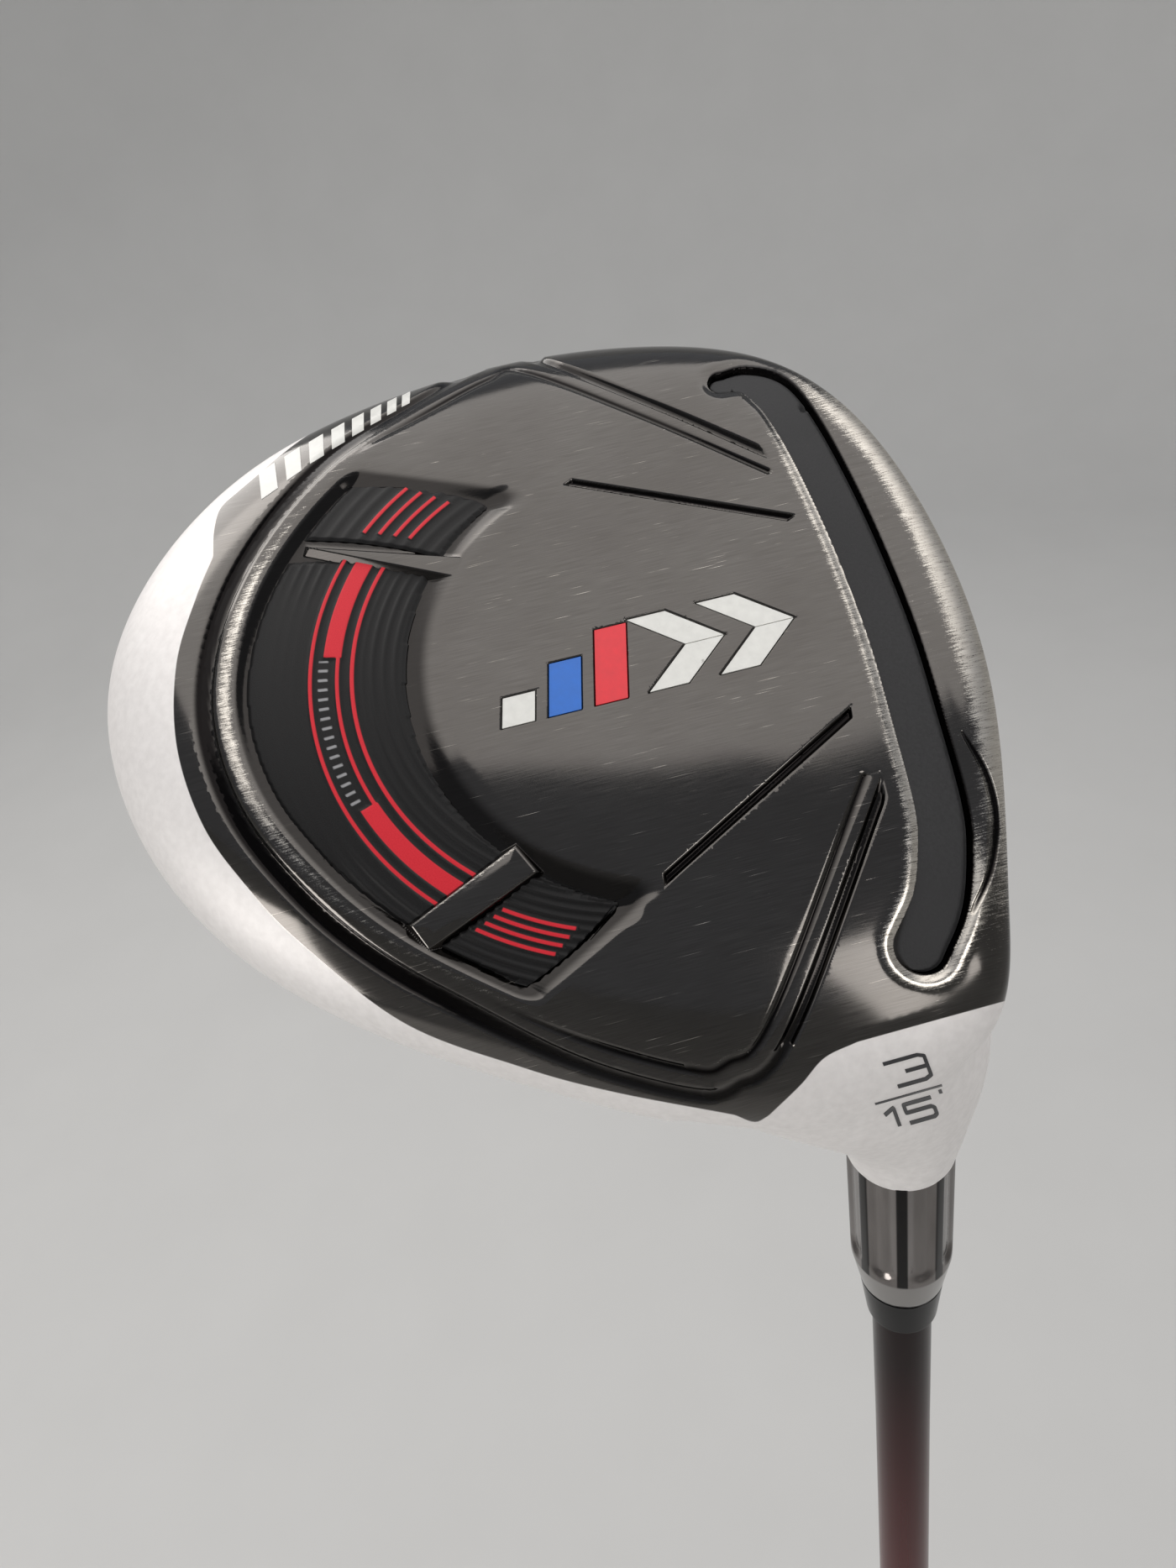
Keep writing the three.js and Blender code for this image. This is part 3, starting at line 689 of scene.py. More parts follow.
def relief_skin():
    """The head's outer skin with the sole's relief, finest where the relief is steep."""
    mesh = plain_skin(SKIN_TURNS, SKIN_RINGS, "relief_skin")
    for _ in range(2):
        refine(mesh)
    points = points_of(mesh)
    normal = read(mesh.vertex_normals, "vector", 3)
    return set_points(mesh, points + normal * sole_lift(points)[:, None])


HEAD_MIDDLE = np.array([27.0, -32.0, 19.0])
HEAD_HALF_WIDTH = 52.0


def shrunk(mesh, side, height):
    """A copy of the skin, drawn in about its middle by a wall's thickness."""
    scale = np.array([1 - side / HEAD_HALF_WIDTH, 1 - side / HEAD_HALF_WIDTH,
                      1 - height / HEAD_MIDDLE[2]])
    return set_points(mesh.copy(), HEAD_MIDDLE + (points_of(mesh) - HEAD_MIDDLE) * scale)


def shaft_ring(length, to_toe, to_target):
    """A ring square to the shaft axis, length from the ground, in the head's frame."""
    return length * ALONG_SHAFT + np.outer(to_toe, TOEWARD) + np.outer(to_target, TARGETWARD)


def neck_rows(lengths):
    """The neck's shifts and half widths at distances from the ground."""
    rows = open_spline(NECK_SECTIONS[:-2], 400)
    return [np.interp(lengths, rows[:, 0], rows[:, k]) for k in range(1, 5)]


def neck_mesh(count=160):
    """The horn that carries the heel over into the round hosel."""
    angle = full_turn(count)
    lengths = np.linspace(NECK_SECTIONS[0, 0], NECK_SECTIONS[-3, 0], 48)
    sections = [*zip(lengths, *neck_rows(lengths)), *NECK_SECTIONS[-2:]]
    rings = [shaft_ring(length, to_toe + half_toe * np.cos(angle),
                        to_target + half_target * np.sin(angle))
             for length, to_toe, to_target, half_toe, half_target in sections]
    low = NECK_SECTIONS[0]
    return skin_mesh("neck", rings, shaft_ring(low[0], low[1], low[2])[0], NECK_TOP * ALONG_SHAFT)


def crown_outline(margin, count=360):
    """The crown shell's outline seen from above, drawn in by a margin; it bows forward
    over the face and is scooped out round the neck."""
    middle = np.array([CROWN_APEX[0], CROWN_APEX[1] - 14])
    edge = closed_spline(OUTLINE[:, 3:], turns(count))[:, :2]
    inward = middle - edge
    edge = edge + inward / np.linalg.norm(inward, axis=1)[:, None] * margin
    front_t, corner_t = -7.0, -14.0
    edge = edge[edge[:, 1] < corner_t - margin]
    first, last = edge[0], edge[-1]
    bend = np.array([middle[0], 2 * front_t - corner_t - margin])
    s = np.linspace(0, 1, 80)[1:-1, None]
    bow = (1 - s) ** 2 * last + 2 * s * (1 - s) * bend + s**2 * first
    outline = np.concatenate([edge, bow])
    away = outline - CROWN_SCOOP
    reach = np.linalg.norm(away, axis=1)
    return CROWN_SCOOP + away * (np.maximum(reach, SCOOP_RADIUS + margin) / reach)[:, None]


def quadratic(start, bend, end, count=24):
    s = np.linspace(0, 1, count, endpoint=False)[:, None]
    return (1 - s) ** 2 * np.array(start) + 2 * s * (1 - s) * np.array(bend) + s**2 * np.array(end)


def face_outline(m):
    """The face insert's outline on the face plane, drawn in by m."""
    return np.concatenate([
        quadratic((-2 + m, 10.5), (26, 3.6 + m), (52, 7 + m)),
        quadratic((52, 7 + m), (62 - m, 9 + m), (60.5 - m, 18)),
        quadratic((60.5 - m, 18), (57 - m, 29 - m), (44, 32.2 - m)),
        quadratic((44, 32.2 - m), (22, 35.4 - m), (4, 30.6 - m)),
        quadratic((4, 30.6 - m), (-4 + m, 27 - m), (-2 + m, 10.5)),
    ])


FACE_FOOT_T = 19.6


def onto_face(points):
    """From x, height up the face and depth to the head's frame."""
    x, up, out = points.T
    return np.column_stack([
        x,
        FACE_FOOT_T - up * math.sin(LOFT) + out * math.cos(LOFT),
        up * math.cos(LOFT) + out * math.sin(LOFT),
    ])


def set_back(mesh, depth):
    """A copy moved into the head, square to the face."""
    normal = np.array([0, math.cos(LOFT), math.sin(LOFT)])
    return set_points(mesh.copy(), points_of(mesh) - normal * depth)


def head_shell():
    """Body of the head with its neck, pockets and the sole's relief."""
    skin = plain_skin(360, 24)
    cavity = shrunk(skin, 3.0, 5.0)
    body = boolean(relief_skin(), "UNION", neck_mesh())
    round_the_seam(body)
    seat = prism("crown_seat", crown_outline(CROWN_MARGIN - FIT_GAP), 21, 60)
    seat = boolean(seat, "INTERSECT", shrunk(skin, -0.4, -0.4))
    seat_depth = CROWN_THICKNESS + FIT_GAP
    seat = boolean(seat, "DIFFERENCE", shrunk(skin, seat_depth, seat_depth))
    opening = prism("crown_opening", crown_outline(5.5), 30, 60)
    face_pocket = prism("face_pocket", face_outline(0), -8, 8, onto_face)
    face_pocket = boolean(face_pocket, "DIFFERENCE", set_back(skin, 2.4))
    hollow = boolean(cavity, "UNION", seat, opening, face_pocket)
    return boolean(body, "DIFFERENCE", hollow)


def round_the_seam(mesh, reach=4.5, rounds=60):
    """Softens the line where the neck leaves the head into a small fillet."""
    points = points_of(mesh)
    along = points @ ALONG_SHAFT
    to_toe, to_target, half_toe, half_target = neck_rows(along)
    off = np.hypot((points @ TOEWARD - to_toe) / half_toe,
                   (points[:, 1] - to_target) / half_target)
    near = (np.abs(off - 1) * half_toe < reach) & (along > 16) & (along < 48)
    with edited(mesh) as shape:
        shape.verts.ensure_lookup_table()
        chosen = [shape.verts[i] for i in np.flatnonzero(near)]
        for _ in range(rounds):
            bmesh.ops.smooth_vert(shape, verts=chosen, factor=0.5, use_axis_x=True,
                                  use_axis_y=True, use_axis_z=True)


# ------------------------------------------------------- placing things on the sole
def sole_reach(points):
    """Share of the way from the sole's centre to the girth at places (x, t), and the
    girth's height in that direction."""
    u = np.linspace(0, 1, 1441)
    girth = closed_spline(OUTLINE[:, :3], u) - SOLE_CENTRE
    at = np.arctan2(girth[:, 1], girth[:, 0]) % (2 * math.pi)
    order = np.argsort(at)
    away = points - SOLE_CENTRE[:2]
    angle = np.arctan2(away[:, 1], away[:, 0]) % (2 * math.pi)
    reach = np.interp(angle, at[order], np.hypot(girth[order, 0], girth[order, 1]),
                      period=2 * math.pi)
    edge = np.interp(angle, at[order], girth[order, 2], period=2 * math.pi)
    return np.linalg.norm(away, axis=1) / reach, edge


def sole_height(points):
    """Height of the smooth sole above the ground at places (x, t)."""
    q, edge = sole_reach(points)
    q = np.clip(q, 0, 0.999)
    return edge * (1 - (1 - q**SOLE_FULLNESS) ** (1 / SOLE_FULLNESS))


def on_sole(flat, lift):
    """Points over the smooth sole at layout places, lifted outward by mm."""
    flat = np.asarray(flat, float)
    shape = flat.shape[:-1]
    flat = flat.reshape(-1, 2)
    lift = np.broadcast_to(lift, shape).reshape(-1)
    place = flat.copy()
    for _ in range(8):
        height = sole_height(place)
        place = EYE[:2] + (flat - EYE[:2]) * (1 - height / EYE[2])[:, None]
    step = 0.2
    slope_x = (sole_height(place + [step, 0]) - sole_height(place - [step, 0])) / (2 * step)
    slope_t = (sole_height(place + [0, step]) - sole_height(place - [0, step])) / (2 * step)
    normal = np.column_stack([slope_x, slope_t, -np.ones(len(place))])
    normal /= np.linalg.norm(normal, axis=1)[:, None]
    return (np.column_stack([place, height]) + normal * lift[:, None]).reshape(*shape, 3)


def slot_insert_mesh():
    """The soft filler of the slot: a band with round ends and softened edges."""
    gap = 0.22
    line = open_spline(SLOT_LINE, 240)
    length = run_along(line)
    places = np.concatenate([-1.5 * np.cos(np.linspace(0, math.pi / 2, 14))[:-1],
                             np.linspace(0, length[-1], 260),
                             length[-1] + 2.6 * np.sin(np.linspace(0, math.pi / 2, 18))[1:]])
    inside = np.clip(places, 0, length[-1])
    tangent = tangent_at(inside, length, line)
    centre = point_at(inside, length, line) + tangent * (places - inside)[:, None]
    half = slot_half_width(inside / length[-1]) - gap
    past = np.abs(places - inside)
    half = np.sqrt(np.clip(half**2 - past**2, 0.02, None))
    across = np.sin(np.linspace(-math.pi / 2, math.pi / 2, 26))
    normal = np.column_stack([-tangent[:, 1], tangent[:, 0]])
    narrow = 0.42 * smooth(0, 3, places) * smooth(length[-1] + 1, length[-1] - 4, places)
    reach = half[:, None] * across - narrow[:, None] * (across + 1) * np.sign(normal[:, 1:2])
    flat = centre[:, None] + normal[:, None] * reach[..., None]
    edge = (1 - np.abs(across)) * half[:, None]
    lift = -0.85 - 0.35 * smooth(0.5, 0.0, edge)
    dimple = np.linalg.norm(flat - [53.5, 8.6], axis=-1)
    lift = lift - 0.5 * smooth(0.6, 0.25, dimple)
    mesh = slab("slot_insert", on_sole(flat, lift), on_sole(flat, -2.4))
    give(mesh, "flat", as_vectors(laid_flat(points_of(mesh))))
    return mesh


def badge_angle(edge, radius):
    """Angle, in degrees from straight back toward the toe, of a badge's slanting edge."""
    (inner_angle, inner_radius), (outer_angle, outer_radius) = edge
    share = (radius - inner_radius) / (outer_radius - inner_radius)
    return inner_angle + (outer_angle - inner_angle) * share


SPOKE_TOE_EDGE = ((47.8, 21.6), (37.2, 38.9))
SPOKE_HEEL_EDGE = ((-52.9, 25.7), (-42.9, 38.2))
FAR_TOE_EDGE = ((74.5, 25.6), (52.0, 42.2))
FAR_HEEL_EDGE = ((-74.0, 30.3), (-60.5, 40.5))
BADGES = {
    "sole_badge_centre": (SPOKE_HEEL_EDGE, SPOKE_TOE_EDGE, (2.2, -2.2)),
    "sole_badge_toe": (SPOKE_TOE_EDGE, FAR_TOE_EDGE, (2.6, -1.5)),
    "sole_badge_heel": (FAR_HEEL_EDGE, SPOKE_HEEL_EDGE, (1.0, -3.0)),
}


def arc_distance(radius, degrees, at, half, span):
    """Distance outside an arc-shaped mark: its radius, half width and span in degrees."""
    middle, reach = (span[0] + span[1]) / 2, (span[1] - span[0]) / 2
    sideways = (np.abs(degrees - middle) - reach) * math.pi / 180 * radius
    return np.maximum(np.abs(radius - at) - half, sideways)


def red_marks(name, radius, degrees):
    """Distance outside a badge's red arcs."""
    if name == "sole_badge_centre":
        marks = [(29.7, 0.22, (-60, 60)), (31.35, 0.2, (-60, 60)), (34.35, 0.2, (-60, 60)),
                 (32.0, 1.0, (15.5, 60)), (32.0, 1.0, (-60, -19))]
        return np.min([arc_distance(radius, degrees, *m) for m in marks], axis=0)
    if name == "sole_badge_toe":
        marks = [(r, 0.22, (44.8 + (34.3 - r) * 0.745, 58 + (34.3 - r) * 0.745))
                 for r in (34.3, 32.6, 30.9, 29.2)]
    else:
        marks = [(r, 0.2, (-64 + (r - 34.6) * 0.9, -50 + (r - 34.6) * 0.9))
                 for r in (34.7, 33.7, 32.7, 31.7)]
    return np.min([arc_distance(radius, degrees, *m) for m in marks], axis=0)


def tick_marks(radius, degrees):
    """Distance outside the row of small grey ticks on the centre badge."""
    pitch = 2.1
    step = (degrees + pitch / 2) % pitch - pitch / 2
    tick = np.maximum(np.abs(step) * math.pi / 180 * radius - 0.17, np.abs(radius - 33.0) - 0.55)
    return np.maximum(tick, (np.abs(degrees + 1.7) - 16.5) * 0.6)


# Pitch, the radius of one rib, and height.
SIDE_RIBS = {"sole_badge_toe": (1.7, 34.3, 0.1), "sole_badge_heel": (1.0, 34.7, 0.24)}


def ribs(name, radius, degrees):
    """Height of a badge's fine concentric ribs."""
    if name == "sole_badge_centre":
        inner = smooth(28.9, 28.3, radius)
        outer = smooth(35.2, 35.8, radius) * (0.1 + 0.9 * smooth(20, 34, np.abs(degrees - 3)))
        outer *= smooth(40.5, 39.5, radius)
        wave = 0.5 + 0.5 * np.cos(2 * math.pi * radius / 1.25)
        return 0.14 * (inner + outer) * wave**2
    pitch, phase, tall = SIDE_RIBS[name]
    return tall * (0.5 + 0.5 * np.cos(2 * math.pi * (radius - phase) / pitch)) ** 1.5


def badge_places(name, radius, share):
    """Layout places on a badge, and their angles, at shares of the way across it."""
    low_edge, high_edge, (low_gap, high_gap) = BADGES[name]
    low = badge_angle(low_edge, radius) + low_gap
    high = badge_angle(high_edge, radius) + high_gap
    degrees = low + (high - low) * share
    angle = np.radians(degrees)
    place = np.stack([BADGE_CENTRE[0] + radius * np.sin(angle),
                      BADGE_CENTRE[1] - radius * np.cos(angle)], -1)
    return place, degrees


def badge_span(name, share):
    """The first and last radius of a badge: where the recess is deep enough for it."""
    probe = np.linspace(20, 47, 181)
    grid, _ = badge_places(name, probe[None, :], share[:, None])
    grid = grid.reshape(-1, 2)
    panel, _ = panel_distance(grid)
    deep = recess_depth(grid, panel).reshape(len(share), -1) > 0.9
    first = np.array([probe[np.argmax(row)] if row.any() else 32 for row in deep])
    last = np.array([probe[len(row) - 1 - np.argmax(row[::-1])] if row.any() else 33
                     for row in deep])
    return first[:, None], np.maximum(last, first + 1.0)[:, None]


def badge_mesh(name, rows=120):
    """A thin moulded badge with ribs and marks, lying on the recess floor."""
    columns = 230 if name == "sole_badge_centre" else 90
    share = np.linspace(0, 1, columns)
    first, last = badge_span(name, share)
    radius = first + (last - first) * np.linspace(0, 1, rows)
    flat, degrees = badge_places(name, radius, share[:, None])
    red = red_marks(name, radius, degrees)
    grey = tick_marks(radius, degrees) if name == "sole_badge_centre" else np.full_like(red, 9.0)
    rim = np.minimum(np.minimum(radius - first, last - radius),
                     np.minimum(share, 1 - share)[:, None] * 40 * (columns / 230))
    lift = -RECESS_DEPTH + 0.35 + ribs(name, radius, degrees) - 0.25 * smooth(0.5, 0.0, rim)
    lift = np.where(red < 0.3, -RECESS_DEPTH + 0.55 - 0.15 * smooth(-0.05, 0.2, red), lift)
    mesh = slab(name, on_sole(flat, lift), on_sole(flat, -RECESS_DEPTH - 0.35))
    give(mesh, "red", np.tile(red.ravel(), 2))
    give(mesh, "grey", np.tile(grey.ravel(), 2))
    give(mesh, "flat", np.tile(as_vectors(flat), (2, 1)))
    return mesh


# --------------------------------------------------------------- inlays and markings
class Drape:
    """Throws layout places from EYE onto the finished head."""

    def __init__(self, mesh):
        points = [Vector(p) for p in points_of(mesh)]
        faces = [tuple(polygon.vertices) for polygon in mesh.polygons]
        self.tree = BVHTree.FromPolygons(points, faces)

    def lay(self, flat, lift):
        shape = flat.shape[:-1]
        eye = Vector(EYE)
        placed = []
        for x, t in flat.reshape(-1, 2):
            ray = (Vector((x, t, 0)) - eye).normalized()
            hit, normal, _, _ = self.tree.ray_cast(eye, ray)
            placed.append(hit + normal * lift)
        return np.array(placed).reshape(*shape, 3)


def quad_grid(corners, rows, columns):
    """A grid of layout places between four corners."""
    a, b, c, d = np.asarray(corners, float)
    s = np.linspace(0, 1, rows)[:, None, None]
    v = np.linspace(0, 1, columns)[None, :, None]
    return (1 - s) * ((1 - v) * a + v * b) + s * ((1 - v) * d + v * c)


def stroke_grid(line, width, pitch=0.3, across=4):
    """A grid of layout places along a line of even width."""
    line = np.asarray(line, float)
    run = run_along(line)
    count = max(3, int(run[-1] / pitch))
    middle = point_at(np.union1d(np.linspace(0, run[-1], count), run), run, line)
    along = np.gradient(middle, axis=0)
    along /= np.linalg.norm(along, axis=1)[:, None]
    normal = np.column_stack([-along[:, 1], along[:, 0]])
    side = np.linspace(-width / 2, width / 2, across)
    return middle[:, None] + normal[:, None] * side[None, :, None]


def combined(name, meshes):
    """One mesh holding several closed solids."""
    whole = bpy.data.meshes.new(name)
    with edited(whole) as shape:
        for mesh in meshes:
            shape.from_mesh(mesh)
    return whole


SLANT = 2.0 / 8.0  # the emblem leans toward the target as it rises toward the toe


def leaning(x, t):
    """A place on the emblem, leant over."""
    return (x, t + (x - 20.5) * SLANT)


def emblem_parts():
    """The generic emblem: three rising bars and two chevrons, by colour."""
    parts = {"white": [], "blue": [], "red": []}
    for i, colour in enumerate(("white", "blue", "red")):
        t = -37.0 + 5.2 * i
        top = 24.0 + 2.8 * i
        parts[colour].append([leaning(20.5, t), leaning(20.5, t + 3.6), leaning(top, t + 3.6),
                              leaning(top, t)])
    thick, middle = 4.4, 25.2
    for start in (-20.5, -12.4):
        tip = start + 5.4
        parts["white"].append([(20.5, start), (20.5, start + thick),
                               (middle - 0.05, tip + thick), (middle - 0.05, tip)])
        parts["white"].append([(middle + 0.05, tip), (middle + 0.05, tip + thick),
                               (29.9, start + thick), (29.9, start)])
    return parts


def quad_distance(flat, corners):
    """Distance outside a convex four-cornered shape."""
    corners = np.asarray(corners, float)
    after = np.roll(corners, -1, 0)
    area = sum(a[0] * b[1] - a[1] * b[0] for a, b in zip(corners, after))
    turn = -1.0 if area > 0 else 1.0
    return np.max([turn * beyond(flat, side) for side in zip(corners, after)], axis=0)


def emblem_distance(flat):
    """Distance outside the emblem's pockets."""
    shapes = [corners for group in emblem_parts().values() for corners in group]
    return np.min([quad_distance(flat, corners) for corners in shapes], axis=0)


def emblem_mesh(name, shapes):
    """Paint-filled inlays, a hair below the edges of their engraved pockets."""
    parts = []
    for corners in shapes:
        grid = quad_grid(corners, 14, 14)
        parts.append(slab(name, on_sole(grid, -0.1), on_sole(grid, -0.45)))
    return combined(name, parts)


def skirt_dashes(drape):
    """A row of plain slanted white dashes along the toe's rear edge."""
    line = open_spline([(59.4, -57.4), (62.4, -51.5), (65.3, -44.5), (67.7, -37.5),
                        (69.2, -31.5)], 200)
    run = run_along(line)
    parts, at = [], 0.0
    for i in range(8):
        height = 3.3 * (1 - 0.075 * i)
        width = 0.72 * height
        ends = []
        for place in (at, at + width):
            point, after = point_at([place, place + 0.5], run, line)
            along = (after - point) / np.linalg.norm(after - point)
            across = np.array([along[1], -along[0]])
            ends.append((point - across * height / 2 - along * 0.3 * height,
                         point + across * height / 2 + along * 0.3 * height))
        grid = quad_grid([ends[0][0], ends[1][0], ends[1][1], ends[0][1]], 9, 7)
        parts.append(slab("dash", drape.lay(grid, 0.05), drape.lay(grid, -0.3)))
        at += width + 0.42 * height
    return combined("skirt_dashes", parts)


def loft_marks(drape):
    """The club's number over its loft, as plain engraved strokes on the neck."""
    def number(strokes, t, x, wide, tall):
        return [[(x + b * tall, t + a * wide) for a, b in line] for line in strokes]

    three = [[(0, 1), (0.85, 1), (1, 0.9), (1, 0.1), (0.85, 0), (0.15, 0)], [(0.45, 0.5), (1, 0.5)]]
    one = [[(0, 0.75), (0.5, 1), (0.5, 0)]]
    five = [[(1, 1), (0, 1), (0, 0.55), (0.9, 0.55), (1, 0.45), (1, 0.1), (0.9, 0), (0, 0)]]
    lines = number(three, -10.4, -25.9, 4.0, 2.3)
    lines += number(one, -11.9, -29.3, 2.0, 1.7)
    lines += number(five, -9.9, -29.3, 2.7, 1.7)
    rule = [(-26.85, -12.4), (-26.85, -5.8)]
    degree_dot = [(-27.35, -6.3), (-27.35, -6.0)]
    lines += [rule, degree_dot]
    parts = []
    for line in lines:
        grid = stroke_grid(line, 0.16 if line == rule else 0.34, 0.15)
        parts.append(slab("stroke", drape.lay(grid, 0.06), drape.lay(grid, -0.25)))
    return combined("loft_marks", parts)


# -------------------------------------------------------------------- turned pieces
def lathe(name, profile, count, shape=None):
    """A closed turned body on +Z; profile is radius, z from end to end, on the axis."""
    angle = full_turn(count)
    rings = []
    for radius, z in profile:
        r = np.full(count, float(radius))
        if shape is not None:
            r = shape(r, angle, z)
        rings.append(np.column_stack([r * np.cos(angle), r * np.sin(angle), np.full(count, z)]))
    low = np.array([0, 0, float(profile[0][1])])
    high = np.array([0, 0, float(profile[-1][1])])
    mesh = skin_mesh(name, rings, low, high)
    outward(mesh)
    return mesh


def from_flute(angle):
    """Angle from the middle line of the nearest flute."""
    return (angle + FLUTE_PITCH / 2) % FLUTE_PITCH - FLUTE_PITCH / 2


def fluted_hosel_mesh(count=288):
    """The bare end of the hosel: scooped flutes and a bright chamfer."""
    angle = full_turn(count)
    off = from_flute(angle)
    along = np.concatenate([np.linspace(NECK_TOP - 3, CHAMFER_FROM, 120),
                            np.linspace(CHAMFER_FROM + 0.2, HOSEL_TOP - 0.3, 12), [HOSEL_TOP]])
    flute_end = FLUTES_TOP - 0.4 - FLUTE_HALF_WIDTH
    rings = []
    for length in along:
        radius = HOSEL_RADIUS - 0.08
        if length > CHAMFER_FROM:
            share = (length - CHAMFER_FROM) / (HOSEL_TOP - CHAMFER_FROM)
            radius -= share * 1.05
        if length == HOSEL_TOP:
            radius -= 0.25
        run = max(length - flute_end, 0, NECK_TOP - 2 - length)
        edge = np.hypot(off * HOSEL_RADIUS, run) - FLUTE_HALF_WIDTH
        r = radius - FLUTE_DEPTH * smooth(0.1, -1.3, edge)
        rings.append(shaft_ring(length, r * np.cos(angle), r * np.sin(angle)))
    mesh = skin_mesh("hosel_sleeve", rings, along[0] * ALONG_SHAFT, HOSEL_TOP * ALONG_SHAFT)
    outward(mesh)
    place = points_of(mesh)
    turn = np.arctan2(place[:, 1], place @ TOEWARD)
    give(mesh, "along", place @ ALONG_SHAFT)
    # How far inside the nearest flute's edge; the material paints shade on the lands outside it.
    give(mesh, "facet", FLUTE_HALF_WIDTH - np.abs(from_flute(turn)) * HOSEL_RADIUS)
    return mesh


def shaft_mesh():
    low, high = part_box("shaft")
    butt = (high.x - low.x) / 2 / MM
    z0, z1 = low.z / MM, high.z / MM
    parallel = z1 - 75
    tip = 4.25
    rows = [(butt - 1.2, z0), (butt, z0)]
    rows += [(butt + (tip - butt) * s, z0 + (parallel - z0) * s) for s in np.linspace(0, 1, 60)[1:]]
    rows += [(tip, z1)]
    return lathe("shaft", rows, 96)


def ferrule_mesh():
    low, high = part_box("ferrule")
    z0, z1 = low.z / MM, high.z / MM
    s = np.linspace(0, 1, 24)
    rows = [(4.37, z0), (4.75, z0 + 0.02)]
    rows += [(4.75 + 0.32 * math.sin(a), z0 + 0.35 - 0.33 * math.cos(a))
             for a in np.linspace(0.2, math.pi / 2, 6)]
    rows += [(5.07 + (5.8 - 5.07) * k, z0 + 0.4 + (z1 - z0 - 0.5) * k) for k in s[1:]]
    rows += [(5.7, z1)]
    return lathe("ferrule", rows, 96)


def grip_relief(radius, angle, z):
    """Moulded pattern of the grip: bands of small slanted grooves and plain collars."""
    arc = angle * 10.5
    shift = 0.7 * z
    wave = np.cos((arc * 2 + shift) * 1.9) + np.cos((arc * 2 - shift) * 1.9)
    groove = smooth(0.9, 1.5, wave)
    show = smooth(12, 15, z) * smooth(262, 258, z)
    for collar in GRIP_COLLARS:
        show *= 1 - smooth(5, 3.6, abs(z - collar))
    ring = sum(0.3 * math.exp(-((z - collar - side) / 0.5) ** 2)
               for collar in GRIP_COLLARS for side in (-5, 5))
    return radius - 0.32 * groove * show - ring


def grip_mesh():
    low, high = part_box("grip")
    butt = (high.x - low.x) / 2 / MM
    length = high.z / MM
    mouth = 7.9
    rows = [(10.55, 0.0), (butt - 1.6, 0.0), (butt - 0.9, 0.25), (butt - 0.35, 0.9), (butt, 2.6)]
    z = np.concatenate([np.arange(3.2, 12, 0.9), np.arange(12, length - 2, 0.42)])
    for place in z:
        share = max(0.0, (place - 10) / (length - 14))
        swell = max(0.0, 1 - share) ** 1.25
        rows.append((mouth + (butt - 0.3 * min(1, place / 10) - mouth) * swell, place))
    rows += [(mouth - 0.1, length - 1.2), (mouth - 0.5, length - 0.2), (mouth - 0.9, length)]
    return lathe("grip", rows, 168, grip_relief)


def cap_mesh():
    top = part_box("grip_cap")[1].z / MM
    rows = [(1.5, 1.4), (1.5, 0.25), (1.8, 0.0), (5.6, 0.0), (5.9, 0.3), (6.3, 0.3), (6.6, 0.0),
            (9.9, 0.0), (10.25, 0.2), (10.4, 0.5), (10.4, top)]
    return lathe("grip_cap", rows, 96)


def crown_shell_mesh(skin):
    """The carbon crown: a thin shell let into the top of the head."""
    under = shrunk(skin, CROWN_THICKNESS, CROWN_THICKNESS)
    shell = boolean(skin.copy(), "DIFFERENCE", under)
    return boolean(shell, "INTERSECT", prism("crown_cut", crown_outline(CROWN_MARGIN), 21, 60))


def face_plate_mesh(skin):
    """The face insert with its score lines cut in."""
    plate = boolean(skin.copy(), "DIFFERENCE", set_back(skin, FACE_THICKNESS))
    plate = boolean(plate, "INTERSECT", prism("face_cut", face_outline(0.12), -8, 8, onto_face))
    shallow = set_back(skin, SCORE_DEPTH)
    for row in range(SCORE_LINES):
        half = 20 - abs(row - 3) * 0.75
        low = 9 + row * SCORE_PITCH - SCORE_HALF_WIDTH
        high = 9 + row * SCORE_PITCH + SCORE_HALF_WIDTH
        outline = [(27 - half, low), (27 + half, low), (27 + half, high), (27 - half, high)]
        groove = boolean(prism("score", outline, -4, 6, onto_face), "DIFFERENCE", shallow)
        plate = boolean(plate, "DIFFERENCE", groove)
    return plate


